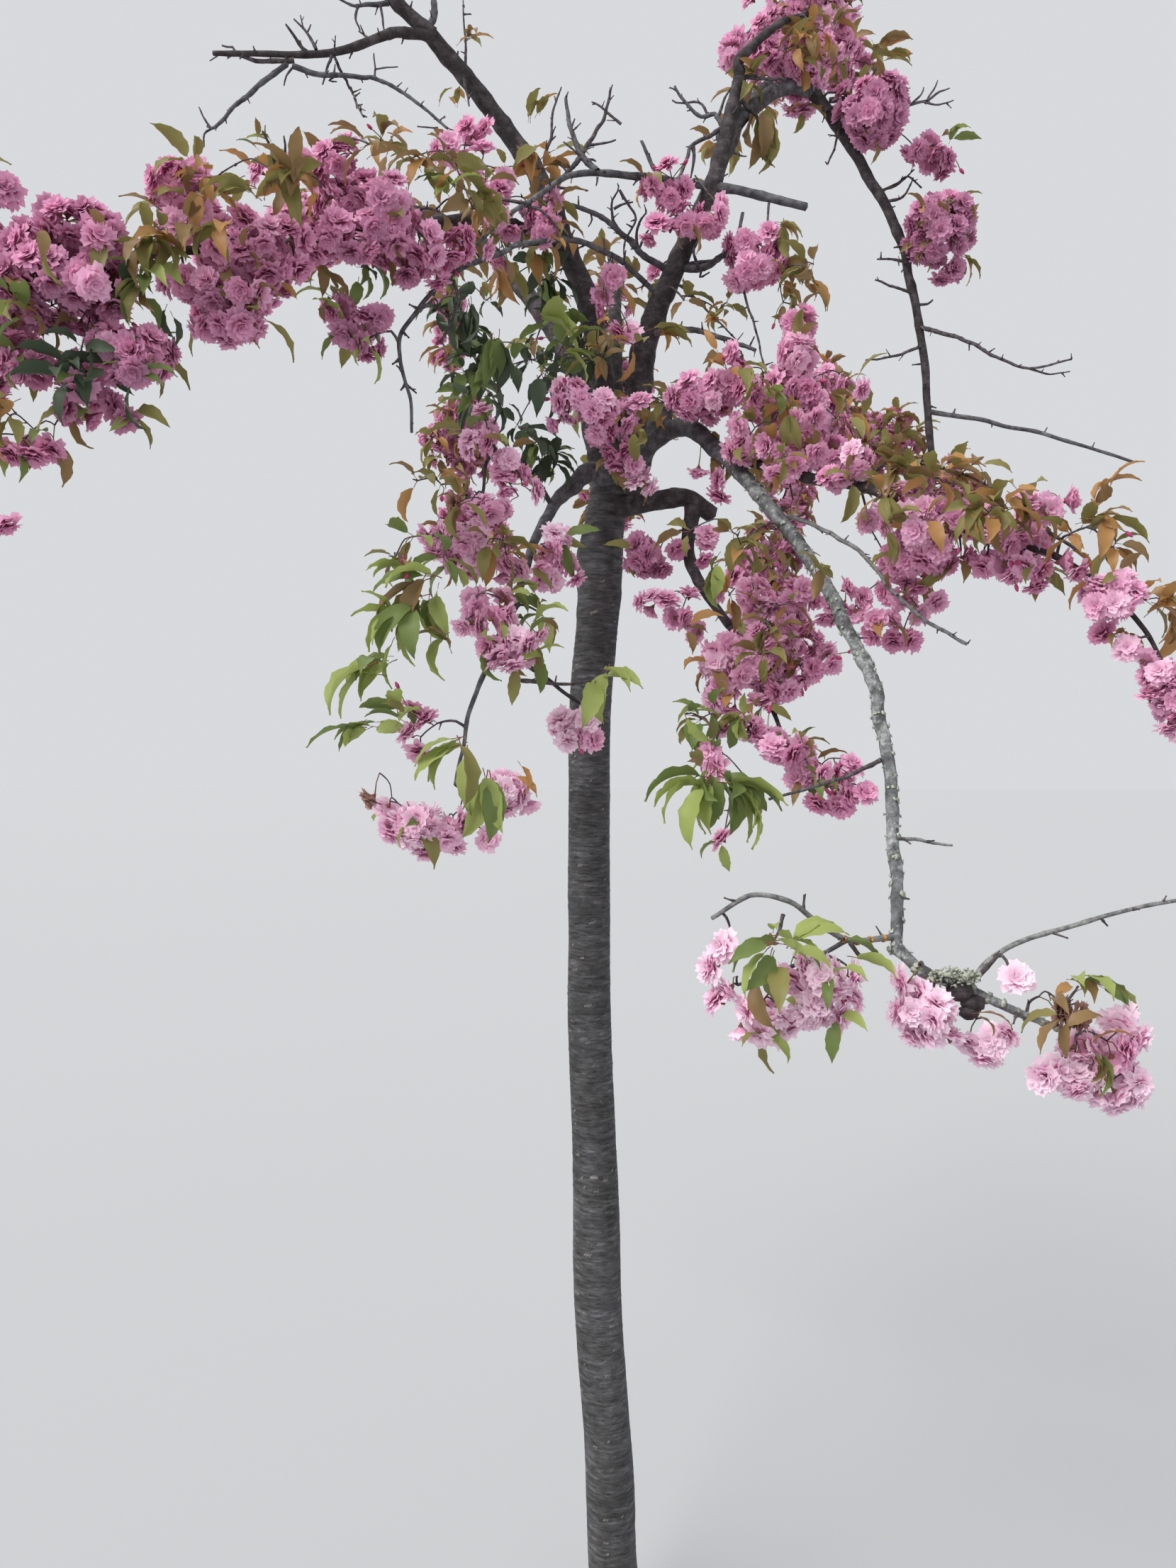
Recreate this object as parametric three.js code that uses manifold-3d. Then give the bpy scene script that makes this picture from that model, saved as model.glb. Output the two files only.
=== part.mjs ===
import * as THREE from 'three';
import { mergeVertices } from 'three/addons/utils/BufferGeometryUtils.js';
import Module from 'manifold-3d';

// Top-grafted weeping cherry in full flower. Millimetres, +Z up. The origin is
// on the flat cut under the stem, and -Y is the side that the photo looks at.

// ---- driving dimensions ----
const STEM_HEAD = 2046;         // height of the sawn stem head
const GRAFT_HEIGHT = 1880;      // middle of the swelling at the union
const STEM_DIA_TOP = 65;        // just under the saw cut
const STEM_DIA_MID = 73;        // about half way up
const STEM_DIA_LOW = 82;        // above the root flare
const FLARE_DIA = 108;          // across the root flare at the ground
const GRAFT_SWELL = 7;          // extra diameter at the union
const STEM_BOW = -53;           // how far the stem bows to the left
const FLARE_RIBS = 5;           // low ribs of the root flare
const STEM_SIDES = 14;
const BOUGH_SIDES = 6;
const TWIG_SIDES = 5;
const GAP = 0.35;               // clearance between neighbouring solids
const LUMP = 0.15;              // how uneven a mass of blossom is
const FACET_MERGE = 0.15;       // slivers left by a cut are merged up to this
const LOBE_DETAIL = 1;          // facets of one lobe of blossom

const wasm = await Module();
wasm.setup();

// ---- helpers ----
const V = (p) => new THREE.Vector3(p[0], p[1], p[2]);

// repeatable value in 0..1
function chance(seed) {
  const s = Math.sin(seed * 127.1 + 311.7) * 43758.5453;
  return s - Math.floor(s);
}

// smooth interpolation of a table of [t, value] rows
function profile(rows, t) {
  for (let i = 1; i < rows.length; i++) {
    if (t <= rows[i][0]) {
      const [a, va] = rows[i - 1];
      const [b, vb] = rows[i];
      const k = (t - a) / (b - a);
      return va + (vb - va) * k * k * (3 - 2 * k);
    }
  }
  return rows[rows.length - 1][1];
}

function loft(rings) {
  const n = rings[0].length;
  const pos = [];
  const idx = [];
  for (const ring of rings) for (const p of ring) pos.push(p.x, p.y, p.z);
  for (let i = 0; i + 1 < rings.length; i++) {
    for (let j = 0; j < n; j++) {
      const a = i * n + j;
      const b = i * n + ((j + 1) % n);
      idx.push(a, b, b + n, a, b + n, a + n);
    }
  }
  for (const end of [0, rings.length - 1]) {
    const c = new THREE.Vector3();
    for (const p of rings[end]) c.add(p);
    c.divideScalar(n);
    const k = pos.length / 3;
    pos.push(c.x, c.y, c.z);
    for (let j = 0; j < n; j++) {
      const a = end * n + j;
      const b = end * n + ((j + 1) % n);
      if (end === 0) idx.push(k, b, a);
      else idx.push(k, a, b);
    }
  }
  return solid(pos, idx);
}

function solid(pos, idx) {
  return new wasm.Manifold(new wasm.Mesh({
    numProp: 3,
    vertProperties: new Float32Array(pos),
    triVerts: new Uint32Array(idx),
  }));
}

function fromGeometry(geometry) {
  geometry.deleteAttribute('normal');
  geometry.deleteAttribute('uv');
  const g = mergeVertices(geometry, 1e-3);
  return solid(g.attributes.position.array, g.index.array);
}

// a limb: one tapering tube through its waypoints, with knuckles where spurs sit
function limbSolid(limb, grow) {
  const pts = limb.path.map(V);
  const curve = new THREE.CatmullRomCurve3(pts, false, 'catmullrom', 0.5);
  const count = limb.rings;
  const seed = limb.seed;
  const rings = [];
  let normal = null;
  let last = null;
  for (let i = 0; i <= count; i++) {
    const t = i / count;
    const u = t * (pts.length - 1);
    const p = curve.getPoint(u / (pts.length - 1));
    const tangent = curve.getTangent(t).normalize();
    if (!normal) {
      normal = new THREE.Vector3(0, 1, 0).cross(tangent);
      if (normal.length() < 0.2) normal = new THREE.Vector3(1, 0, 0).cross(tangent);
      normal.normalize();
    } else {
      const axis = last.clone().cross(tangent);
      const s = axis.length();
      if (s > 1e-6) normal.applyAxisAngle(axis.divideScalar(s), Math.asin(Math.min(1, s)));
      normal.sub(tangent.clone().multiplyScalar(normal.dot(tangent))).normalize();
    }
    last = tangent;
    const side = tangent.clone().cross(normal);
    if (i === 0) p.addScaledVector(tangent, -grow);
    if (i === count) p.addScaledVector(tangent, grow);
    const knuckle = 1 + 0.07 * (chance(seed + i * 3.7) - 0.5);
    const r = (0.5 * (limb.from + (limb.to - limb.from) * Math.pow(t, 0.85))) * knuckle + grow;
    const ring = [];
    for (let j = 0; j < limb.sides; j++) {
      const a = (2 * Math.PI * j) / limb.sides;
      const q = p.clone();
      q.addScaledVector(normal, r * Math.cos(a));
      q.addScaledVector(side, r * Math.sin(a));
      ring.push(q);
    }
    rings.push(ring);
  }
  return loft(rings);
}

// one lobe of blossom: an ellipsoid with pom-pom bumps
function lobeSolid(lobe, seed, grow) {
  const [cx, cy, cz, rx, ry, rz] = lobe;
  const g = new THREE.IcosahedronGeometry(1, LOBE_DETAIL);
  const bumps = [];
  for (let k = 0; k < 11; k++) {
    const z = 2 * chance(seed + k * 1.37) - 1;
    const a = 2 * Math.PI * chance(seed + k * 2.91 + 5);
    const s = Math.sqrt(1 - z * z);
    bumps.push([s * Math.cos(a), s * Math.sin(a), z, chance(seed + k * 4.3 + 9) - 0.35]);
  }
  const p = g.attributes.position;
  for (let i = 0; i < p.count; i++) {
    const n = new THREE.Vector3().fromBufferAttribute(p, i).normalize();
    let r = 1;
    for (const b of bumps) {
      const d = n.x * b[0] + n.y * b[1] + n.z * b[2];
      if (d > 0.45) r += LUMP * b[3] * ((d - 0.45) / 0.55);
    }
    p.setXYZ(i,
      cx + n.x * (rx * r + grow),
      cy + n.y * (ry * r + grow),
      cz + n.z * (rz * r + grow));
  }
  return fromGeometry(g);
}

const apart = new Set();        // masses whose lobes do not meet

function massSolid(mass, grow) {
  let out = null;
  mass.lobes.forEach((lobe, i) => {
    const s = lobeSolid(lobe, mass.seed + i * 17, grow);
    out = out ? out.add(s) : s;
  });
  if (out.decompose().length !== 1) apart.add(mass.name);
  return out;
}

// the stem: true taper, slight bow, union swelling and a ribbed root flare
const stemDia = [
  [0, FLARE_DIA],
  [60, FLARE_DIA - 17],
  [170, STEM_DIA_LOW + 2],
  [460, STEM_DIA_LOW - 2],
  [700, STEM_DIA_LOW],
  [950, STEM_DIA_MID + 2],
  [1400, STEM_DIA_MID - 2],
  [1760, STEM_DIA_MID - 3],
  [GRAFT_HEIGHT, STEM_DIA_MID + GRAFT_SWELL - 4],
  [1975, STEM_DIA_TOP + 1],
  [STEM_HEAD, STEM_DIA_TOP],
];
const stemBow = [[0, 0], [220, 0.25], [706, 0.72], [1183, 0.97], [1592, 0.96], [1879, 0.62], [STEM_HEAD, 0.27]];
const stemStations = [0, 30, 75, 150, 320, 706, 950, 1300, 1592, 1790, GRAFT_HEIGHT, 1965, STEM_HEAD];

function stemSolid(grow) {
  const rings = stemStations.map((z) => {
    const ring = [];
    const flare = Math.max(0, 1 - z / 170);
    for (let j = 0; j < STEM_SIDES; j++) {
      const a = (2 * Math.PI * j) / STEM_SIDES;
      const rib = 1 + 0.07 * flare * flare * Math.cos(FLARE_RIBS * a + 0.6);
      const lump = 1 + 0.015 * Math.sin(2 * a + z * 0.004) * (z > 0 ? 1 : 0);
      const r = 0.5 * profile(stemDia, z) * rib * lump + grow;
      const lift = z === STEM_HEAD ? 7 * Math.sin(a + 2.4) + grow : (z === 0 ? -grow : 0);
      ring.push(new THREE.Vector3(STEM_BOW * profile(stemBow, z) + r * Math.cos(a), r * Math.sin(a), z + lift));
    }
    return ring;
  });
  return loft(rings);
}

// ---- limbs: waypoints, thickness at the butt and the tip, what they end in ----
const limbs = [
  { name: 'left_leader', from: 46, to: 26, rings: 7, path: [[0, 20, 2000], [-43, 30, 2272], [-113, 2, 2468], [-187, -20, 2584], [-307, -80, 2706]] },
  { name: 'right_leader', from: 52, to: 21, rings: 7, path: [[10, 18, 2005], [39, -10, 2224], [85, -30, 2349], [154, -50, 2494], [191, -50, 2650]], ends: ['crown_right'] },
  { name: 'left_leader_top', from: 24, to: 15, rings: 5, path: [[-300, -76, 2702], [-369, -100, 2755], [-455, -120, 2835], [-570, -140, 2915]], ends: ['crown_left'] },
  { name: 'lichened_shoulder', from: 36, to: 24, rings: 6, path: [[7, -12, 2023], [60, -60, 2075], [107, -105, 2079], [148, -150, 2036], [179, -195, 1989]] },
  { name: 'lichened_bough', from: 23, to: 14, rings: 7, path: [[177, -193, 1991], [251, -290, 1867], [301, -385, 1737], [325, -475, 1619], [316, -575, 1480], [297, -672, 1350]] },
  { name: 'lichened_tip', from: 15, to: 9, rings: 3, path: [[297, -666, 1353], [326, -700, 1330], [384, -702, 1307], [435, -700, 1282]], ends: ['low_right_outer'] },
  { name: 'hooked_limb', from: 38, to: 26, rings: 4, path: [[-10, -8, 1972], [55, -44, 1976], [105, -60, 1979], [151, -62, 1950]] },
  { name: 'hooked_limb_fall', from: 27, to: 13, rings: 4, path: [[118, -62, 1960], [109, -84, 1898], [126, -110, 1835], [170, -140, 1763]], ends: ['right_curtain'] },
  { name: 'left_loop', from: 40, to: 14, rings: 6, path: [[-15, -15, 2020], [-49, -60, 2022], [-81, -92, 1988], [-109, -125, 1953], [-137, -200, 1880]], ends: ['left_curtain'] },
  { name: 'left_bough', from: 21, to: 16, rings: 4, path: [[-91, 4, 2403], [-151, -100, 2390], [-201, -200, 2364], [-271, -310, 2310], [-312, -370, 2279]], ends: ['left_upper'] },
  { name: 'crossing_bough', from: 10, to: 8, rings: 6, sides: TWIG_SIDES, path: [[58, -26, 2320], [7, -70, 2346], [-44, -120, 2356], [-96, -170, 2346], [-147, -220, 2319], [-185, -270, 2285], [-225, -330, 2244]], ends: ['left_upper'] },
  { name: 'upper_crossing', from: 14, to: 8, rings: 6, sides: TWIG_SIDES, path: [[146, -48, 2480], [82, -100, 2464], [27, -130, 2458], [-25, -152, 2454], [-69, -170, 2445], [-100, -185, 2423], [-137, -200, 2392]], ends: ['leader_cluster', 'leader_left_poms'] },
  { name: 'right_bough', from: 20, to: 14, rings: 4, path: [[143, -150, 2035], [204, -205, 2001], [266, -270, 1968], [336, -335, 1940], [370, -372, 1908]], ends: ['right_middle'] },
  { name: 'right_arch', from: 27, to: 24, rings: 3, path: [[166, -46, 2556], [205, -20, 2610], [255, 0, 2656]], ends: ['crown_right'] },
  { name: 'right_arch_fall', from: 21, to: 12, rings: 6, path: [[325, 14, 2658], [388, 10, 2565], [461, 0, 2424], [499, 0, 2268], [526, 0, 2040]], ends: ['crown_right'] },
  { name: 'cut_stub', from: 16, to: 13, rings: 3, sides: TWIG_SIDES, path: [[150, -52, 2478], [206, -70, 2459], [297, -72, 2437]] },
  { name: 'arch_side_twig', from: 9, to: 5, rings: 3, sides: TWIG_SIDES, path: [[517, 0, 2133], [614, -30, 2108], [719, -60, 2072], [826, -80, 2031]] },
  { name: 'bare_side_branch', from: 22, to: 7, rings: 5, sides: TWIG_SIDES, path: [[-296, -76, 2698], [-352, -100, 2694], [-451, -160, 2628], [-604, -220, 2594]] },
  { name: 'low_arching_twig', from: 9, to: 6, rings: 5, sides: TWIG_SIDES, path: [[299, -662, 1364], [235, -700, 1368], [197, -712, 1389], [166, -720, 1413], [125, -722, 1419], [82, -720, 1395]] , ends: ['low_right_inner'] },
  { name: 'low_bare_twig', from: 9, to: 5, rings: 4, sides: TWIG_SIDES, path: [[372, -702, 1322], [427, -680, 1359], [564, -640, 1391], [695, -610, 1406]] },
  { name: 'stem_front_twig', from: 8, to: 5, rings: 3, sides: TWIG_SIDES, path: [[-185, -370, 1720], [-120, -335, 1678], [-66, -300, 1640]], ends: ['left_curtain_low', 'stem_front'] },
  { name: 'back_left_bough', from: 40, to: 24, rings: 5, path: [[-18, 12, 2010], [-100, 150, 2290], [-300, 390, 2590], [-560, 600, 2740]], ends: ['back_left'] },
  { name: 'back_centre_bough', from: 30, to: 18, rings: 4, path: [[-6, 24, 2006], [-4, 130, 2300], [-6, 250, 2460], [-10, 400, 2520]], ends: ['back_centre'] },
  { name: 'back_right_bough', from: 40, to: 24, rings: 5, path: [[12, 20, 2004], [100, 235, 2205], [250, 480, 2330], [400, 660, 2345]], ends: ['back_right'] },
  { name: 'back_top_limb', from: 26, to: 16, rings: 4, path: [[120, -30, 2420], [190, 130, 2620], [270, 330, 2820], [350, 480, 2950]], ends: ['back_top'] },
];
limbs.forEach((limb, i) => {
  limb.seed = 11 + i * 5.3;
  limb.sides = limb.sides || BOUGH_SIDES;
  limb.ends = limb.ends || [];
});

// ---- masses of blossom and leaf: lobes of [centre x, y, z, half-size x, y, z] ----
const masses = [
  { name: 'crown_right', lobes: [[282, 30, 2755, 118, 112, 106], [347, 60, 2842, 72, 70, 66]] },
  { name: 'arch_poms_upper', lobes: [[412, -40, 2603, 66, 64, 66], [505, -40, 2537, 52, 52, 46]] },
  { name: 'arch_pom_lower', lobes: [[524, -25, 2406, 62, 68, 80]] },
  { name: 'leader_cluster', lobes: [[92, -122, 2420, 74, 62, 50]] },
  { name: 'inner_right_pom', lobes: [[214, -100, 2338, 58, 62, 58]] },
  { name: 'leader_left_poms', lobes: [[-232, -190, 2466, 54, 66, 44], [-158, -170, 2402, 62, 66, 50]] },
  { name: 'left_upper', lobes: [[-366, -430, 2277, 98, 130, 92], [-240, -350, 2252, 66, 96, 56]] },
  { name: 'left_middle', lobes: [[-465, -500, 2194, 78, 122, 66], [-545, -530, 2245, 54, 100, 60], [-509, -520, 2117, 78, 118, 56]] },
  { name: 'left_drop', lobes: [[-359, -420, 2130, 50, 66, 52]] },
  { name: 'left_outer', lobes: [[-658, -598, 2139, 88, 148, 78]] },
  { name: 'left_outer_hang', lobes: [[-696, -580, 2003, 98, 118, 68], [-590, -568, 2040, 60, 94, 44]] },
  { name: 'left_far', lobes: [[-798, -560, 2080, 86, 120, 98]] },
  { name: 'head_front', lobes: [[-34, -190, 2078, 80, 74, 58], [11, -150, 2014, 48, 56, 48]] },
  { name: 'right_upper', lobes: [[258, -215, 2112, 116, 116, 90], [123, -165, 2122, 66, 62, 46], [280, -150, 2228, 46, 56, 56]] },
  { name: 'left_curtain', lobes: [[-182, -288, 1999, 58, 90, 86], [-209, -342, 1868, 87, 102, 74], [-107, -262, 1860, 58, 72, 52]] },
  { name: 'left_curtain_low', lobes: [[-172, -400, 1731, 70, 80, 60], [-284, -455, 1716, 94, 88, 58]] },
  { name: 'left_low', lobes: [[-229, -490, 1499, 112, 88, 62], [-264, -478, 1601, 54, 60, 60]] },
  { name: 'stem_front', lobes: [[-70, -300, 1606, 47, 48, 46]] },
  { name: 'under_head_right', lobes: [[70, -112, 1893, 56, 60, 50]] },
  { name: 'right_curtain', lobes: [[162, -196, 1820, 102, 86, 62], [215, -240, 1706, 108, 104, 88]] },
  { name: 'right_curtain_low', lobes: [[240, -330, 1553, 108, 82, 76], [126, -400, 1517, 68, 62, 62]] },
  { name: 'right_shoulder', lobes: [[374, -270, 1802, 88, 88, 72]] },
  { name: 'right_middle', lobes: [[397, -400, 1872, 75, 104, 72], [515, -452, 1843, 87, 106, 68]] },
  { name: 'right_end', lobes: [[609, -492, 1767, 52, 72, 50], [672, -512, 1659, 72, 86, 82]] },
  { name: 'low_right_inner', lobes: [[164, -720, 1323, 90, 68, 64]] },
  { name: 'low_right_outer', lobes: [[353, -716, 1286, 82, 68, 55], [498, -700, 1252, 74, 68, 72]] },
  { name: 'crown_left', lobes: [[-640, -150, 2955, 124, 104, 84]] },
  { name: 'back_left', lobes: [[-845, 762, 2668, 134, 128, 104], [-668, 668, 2705, 120, 118, 92], [-520, 562, 2675, 96, 104, 86]] },
  { name: 'back_left_hang', lobes: [[-345, 520, 2450, 56, 70, 120], [-330, 580, 2235, 92, 104, 112], [-305, 600, 2030, 104, 104, 110]] },
  { name: 'back_centre', lobes: [[-12, 430, 2455, 58, 84, 84], [8, 520, 2290, 88, 92, 100], [-8, 560, 2105, 84, 88, 96]] },
  { name: 'back_top', lobes: [[365, 500, 2990, 112, 120, 98], [500, 625, 3045, 84, 92, 76]] },
  { name: 'back_right', lobes: [[448, 680, 2338, 126, 124, 98], [600, 700, 2248, 116, 116, 98], [745, 692, 2125, 110, 108, 112]] },
  { name: 'back_right_hang', lobes: [[388, 636, 2150, 80, 94, 122], [350, 590, 1970, 90, 98, 110], [332, 545, 1790, 108, 108, 116]] },
];
masses.forEach((mass, i) => { mass.seed = 3 + i * 7.9; });

// ---- cutting: limbs end in the masses they name, the rest make way for limbs ----
function biggest(m) {
  const bits = m.decompose();
  let best = bits[0];
  for (const b of bits) if (b.volume() > best.volume()) best = b;
  return best;
}

function near(a, b) {
  const p = a.boundingBox();
  const q = b.boundingBox();
  for (let k = 0; k < 3; k++) if (p.min[k] > q.max[k] + 2 || q.min[k] > p.max[k] + 2) return false;
  return true;
}

function cut(m, tools) {
  let out = m;
  for (const t of tools) if (near(out, t)) out = out.subtract(t);
  return biggest(biggest(out).simplify(FACET_MERGE));
}

const built = [];
const stem = { name: 'stem', body: stemSolid(0), grown: stemSolid(GAP) };
built.push(stem);
const grownMass = new Map(masses.map((m) => [m.name, massSolid(m, GAP)]));
if (apart.size) throw new Error('lobes do not meet: ' + [...apart].join(', '));

for (const limb of limbs) {
  const tools = built.map((b) => b.grown);
  for (const name of limb.ends) tools.push(grownMass.get(name));
  built.push({ name: limb.name, limb, body: cut(limbSolid(limb, 0), tools), grown: limbSolid(limb, GAP) });
}

for (const mass of masses) {
  const tools = [];
  for (const b of built) {
    if (b.limb && b.limb.ends.includes(mass.name)) continue;
    tools.push(b.grown);
  }
  built.push({ name: mass.name, mass, body: cut(massSolid(mass, 0), tools), grown: grownMass.get(mass.name) });
}

// ---- the part ----
const BARK = 0x5a4f4c;
const LICHEN = 0x8f9187;
const BLOSSOM = 0xd58ab8;
const LEAFY = 0xb08f88;
const leafy = new Set(['left_curtain_low', 'left_low', 'right_curtain_low']);

function meshFrom(body, name, colour) {
  const m = body.getMesh();
  const count = m.vertProperties.length / m.numProp;
  const pos = new Float32Array(count * 3);
  for (let i = 0; i < count; i++) {
    for (let k = 0; k < 3; k++) pos[3 * i + k] = m.vertProperties[i * m.numProp + k];
  }
  const g = new THREE.BufferGeometry();
  g.setAttribute('position', new THREE.BufferAttribute(pos, 3));
  g.setIndex(new THREE.BufferAttribute(new Uint32Array(m.triVerts), 1));
  const flat = g.toNonIndexed();
  flat.computeVertexNormals();
  const mesh = new THREE.Mesh(flat, new THREE.MeshStandardMaterial({ color: colour, roughness: 0.9 }));
  mesh.name = name;
  return mesh;
}

const group = new THREE.Group();
group.name = 'weeping_cherry';
for (const b of built) {
  let colour = BARK;
  if (b.limb && b.name.startsWith('lichened')) colour = LICHEN;
  if (b.mass) colour = leafy.has(b.name) ? LEAFY : BLOSSOM;
  group.add(meshFrom(b.body, b.name, colour));
}

export default group;
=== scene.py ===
import math

import bpy
import numpy as np
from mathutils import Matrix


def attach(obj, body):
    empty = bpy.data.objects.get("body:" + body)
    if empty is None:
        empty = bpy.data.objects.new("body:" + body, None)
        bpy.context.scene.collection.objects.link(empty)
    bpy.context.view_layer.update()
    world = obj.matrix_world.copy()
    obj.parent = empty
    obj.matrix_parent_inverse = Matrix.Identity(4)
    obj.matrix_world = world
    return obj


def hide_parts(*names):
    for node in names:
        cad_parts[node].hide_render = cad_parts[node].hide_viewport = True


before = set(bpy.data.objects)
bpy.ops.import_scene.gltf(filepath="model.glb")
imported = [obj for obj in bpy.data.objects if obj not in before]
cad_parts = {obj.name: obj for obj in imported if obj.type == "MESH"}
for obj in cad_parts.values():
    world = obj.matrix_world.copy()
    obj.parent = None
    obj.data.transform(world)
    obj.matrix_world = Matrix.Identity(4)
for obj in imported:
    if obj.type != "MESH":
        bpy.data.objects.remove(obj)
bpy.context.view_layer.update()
scene = bpy.context.scene

# ------------------------------------------------------------------ camera
PHOTO_W, PHOTO_H = 1659.0, 2212.0
FOCAL = 1664.0
EYE = np.array([-0.053, -2.0, 1.6])
PITCH = math.radians(2.6)
AHEAD = np.array([0.0, math.cos(PITCH), -math.sin(PITCH)])
UP = np.array([0.0, math.sin(PITCH), math.cos(PITCH)])

cam = bpy.data.objects.new("photo_camera", bpy.data.cameras.new("photo_camera"))
scene.collection.objects.link(cam)
scene.camera = cam
cam.data.sensor_width = 36.0
cam.data.lens = 36.0 * FOCAL / PHOTO_H
cam.data.clip_start = 0.02
cam.location = EYE
cam.rotation_euler = (math.pi / 2 - PITCH, 0.0, 0.0)


def at(u, v, y):
    """The point on the plane Y = y that the photo shows at pixel (u, v)."""
    d = AHEAD + np.array([1.0, 0, 0]) * (u - PHOTO_W / 2) / FOCAL - UP * (v - PHOTO_H / 2) / FOCAL
    return EYE + d * ((y - EYE[1]) / d[1])


# ------------------------------------------------------------------ helpers
def unit(v):
    v = np.asarray(v, float)
    return v / np.maximum(np.linalg.norm(v, axis=-1, keepdims=True), 1e-12)


def vnoise(p, seed=0):
    """Smooth value noise, -1 to 1, at the points p (n, 3)."""
    p = np.asarray(p, float)
    q = np.floor(p).astype(np.int64)
    f = p - q
    f = f * f * (3 - 2 * f)

    def corner(i, j, k):
        n = (q[:, 0] + i) * 73856093 ^ (q[:, 1] + j) * 19349663 ^ (q[:, 2] + k) * 83492791 ^ (seed * 7919 + 17)
        n = (n ^ (n >> 13)) & 0x7FFFFFFF
        n = (n * (n * n * 15731 + 789221) + 1376312589) & 0x7FFFFFFF
        return n / 1073741824.0 - 1.0

    out = 0.0
    for i in (0, 1):
        for j in (0, 1):
            for k in (0, 1):
                w = (f[:, 0] if i else 1 - f[:, 0]) * (f[:, 1] if j else 1 - f[:, 1]) * (f[:, 2] if k else 1 - f[:, 2])
                out = out + w * corner(i, j, k)
    return out


def spline(pts, per):
    """Uniform Catmull-Rom through pts, about one sample every per metres. Returns points and 0..1 along."""
    pts = np.asarray(pts, float)
    n = len(pts)
    ext = np.vstack([2 * pts[0] - pts[1], pts, 2 * pts[-1] - pts[-2]])
    out, ts = [], []
    for i in range(n - 1):
        p0, p1, p2, p3 = ext[i], ext[i + 1], ext[i + 2], ext[i + 3]
        k = max(2, int(math.ceil(np.linalg.norm(p2 - p1) / per)))
        last = i == n - 2
        w = np.linspace(0, 1, k + 1)[: None if last else -1][:, None]
        m1, m2 = 0.5 * (p2 - p0), 0.5 * (p3 - p1)
        out.append((2 * w**3 - 3 * w**2 + 1) * p1 + (w**3 - 2 * w**2 + w) * m1 + (-2 * w**3 + 3 * w**2) * p2 + (w**3 - w**2) * m2)
        ts.append((i + w[:, 0]) / (n - 1))
    return np.vstack(out), np.concatenate(ts)


def frames_of(path):
    t = unit(np.gradient(path, axis=0))
    n = np.empty_like(t)
    a = np.cross([0.0, 1.0, 0.0], t[0])
    if np.linalg.norm(a) < 0.2:
        a = np.cross([1.0, 0.0, 0.0], t[0])
    n[0] = a / np.linalg.norm(a)
    for i in range(1, len(t)):
        b = n[i - 1] - t[i] * np.dot(n[i - 1], t[i])
        n[i] = b / max(np.linalg.norm(b), 1e-12)
    return t, n, np.cross(t, n)


def ring_faces(rings, sides, cap_start=True, cap_end=True):
    i = np.arange(rings - 1)[:, None] * sides
    j = np.arange(sides)[None, :]
    a = i + j
    b = i + (j + 1) % sides
    f = np.concatenate([np.stack([a, b, b + sides], -1).reshape(-1, 3), np.stack([a, b + sides, a + sides], -1).reshape(-1, 3)])
    k = rings * sides
    j = np.arange(sides)
    if cap_start:
        f = np.concatenate([f, np.stack([np.full(sides, k), (j + 1) % sides, j], -1)])
        k += 1
    if cap_end:
        e = (rings - 1) * sides
        f = np.concatenate([f, np.stack([np.full(sides, k), e + j, e + (j + 1) % sides], -1)])
    return f


def tube(path, rad, sides, shape=None, cap_start=True, cap_end=True):
    """A closed tube. shape(points) gives a factor on the radius."""
    t, n, b = frames_of(path)
    ang = 2 * math.pi * np.arange(sides) / sides
    out = n[:, None] * np.cos(ang)[None, :, None] + b[:, None] * np.sin(ang)[None, :, None]
    r = np.asarray(rad)[:, None] * np.ones(sides)
    if shape is not None:
        base = (path[:, None] + out * r[..., None]).reshape(-1, 3)
        r = r * shape(base).reshape(len(path), sides)
    v = (path[:, None] + out * r[..., None]).reshape(-1, 3)
    if cap_start:
        v = np.vstack([v, path[0] - t[0] * r[0, 0] * 0.15])
    if cap_end:
        v = np.vstack([v, path[-1] + t[-1] * r[-1, 0] * 0.35])
    return v, ring_faces(len(path), sides, cap_start, cap_end)


class Bag:
    """Collects triangles, each with a material number, into one mesh."""

    def __init__(self):
        self.v, self.f, self.m, self.n, self.tris = [], [], [], 0, 0

    def add(self, v, f, m=0):
        self.v.append(np.asarray(v, float))
        self.f.append(np.asarray(f) + self.n)
        self.m.append(np.full(len(f), m) if np.isscalar(m) else np.asarray(m))
        self.n += len(v)
        self.tris += len(f)

    def object(self, name, mats, slot):
        v, f, m = np.vstack(self.v), np.vstack(self.f), np.concatenate(self.m)
        me = bpy.data.meshes.new(name)
        me.vertices.add(len(v))
        me.vertices.foreach_set("co", v.ravel())
        me.loops.add(3 * len(f))
        me.loops.foreach_set("vertex_index", f.ravel().astype(np.int32))
        me.polygons.add(len(f))
        me.polygons.foreach_set("loop_start", np.arange(0, 3 * len(f), 3, dtype=np.int32))
        me.polygons.foreach_set("material_index", m.astype(np.int32))
        me.polygons.foreach_set("use_smooth", np.ones(len(f), bool))
        for mat in mats:
            me.materials.append(mat)
        me.update(calc_edges=True)
        me.validate()
        ob = bpy.data.objects.new(name, me)
        scene.collection.objects.link(ob)
        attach(ob, "root")
        return ob


# ------------------------------------------------------------------ materials
def srgb(r, g, b):
    return tuple(((c / 255) / 12.92 if c / 255 <= 0.04045 else ((c / 255 + 0.055) / 1.055) ** 2.4) for c in (r, g, b)) + (1.0,)


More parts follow.
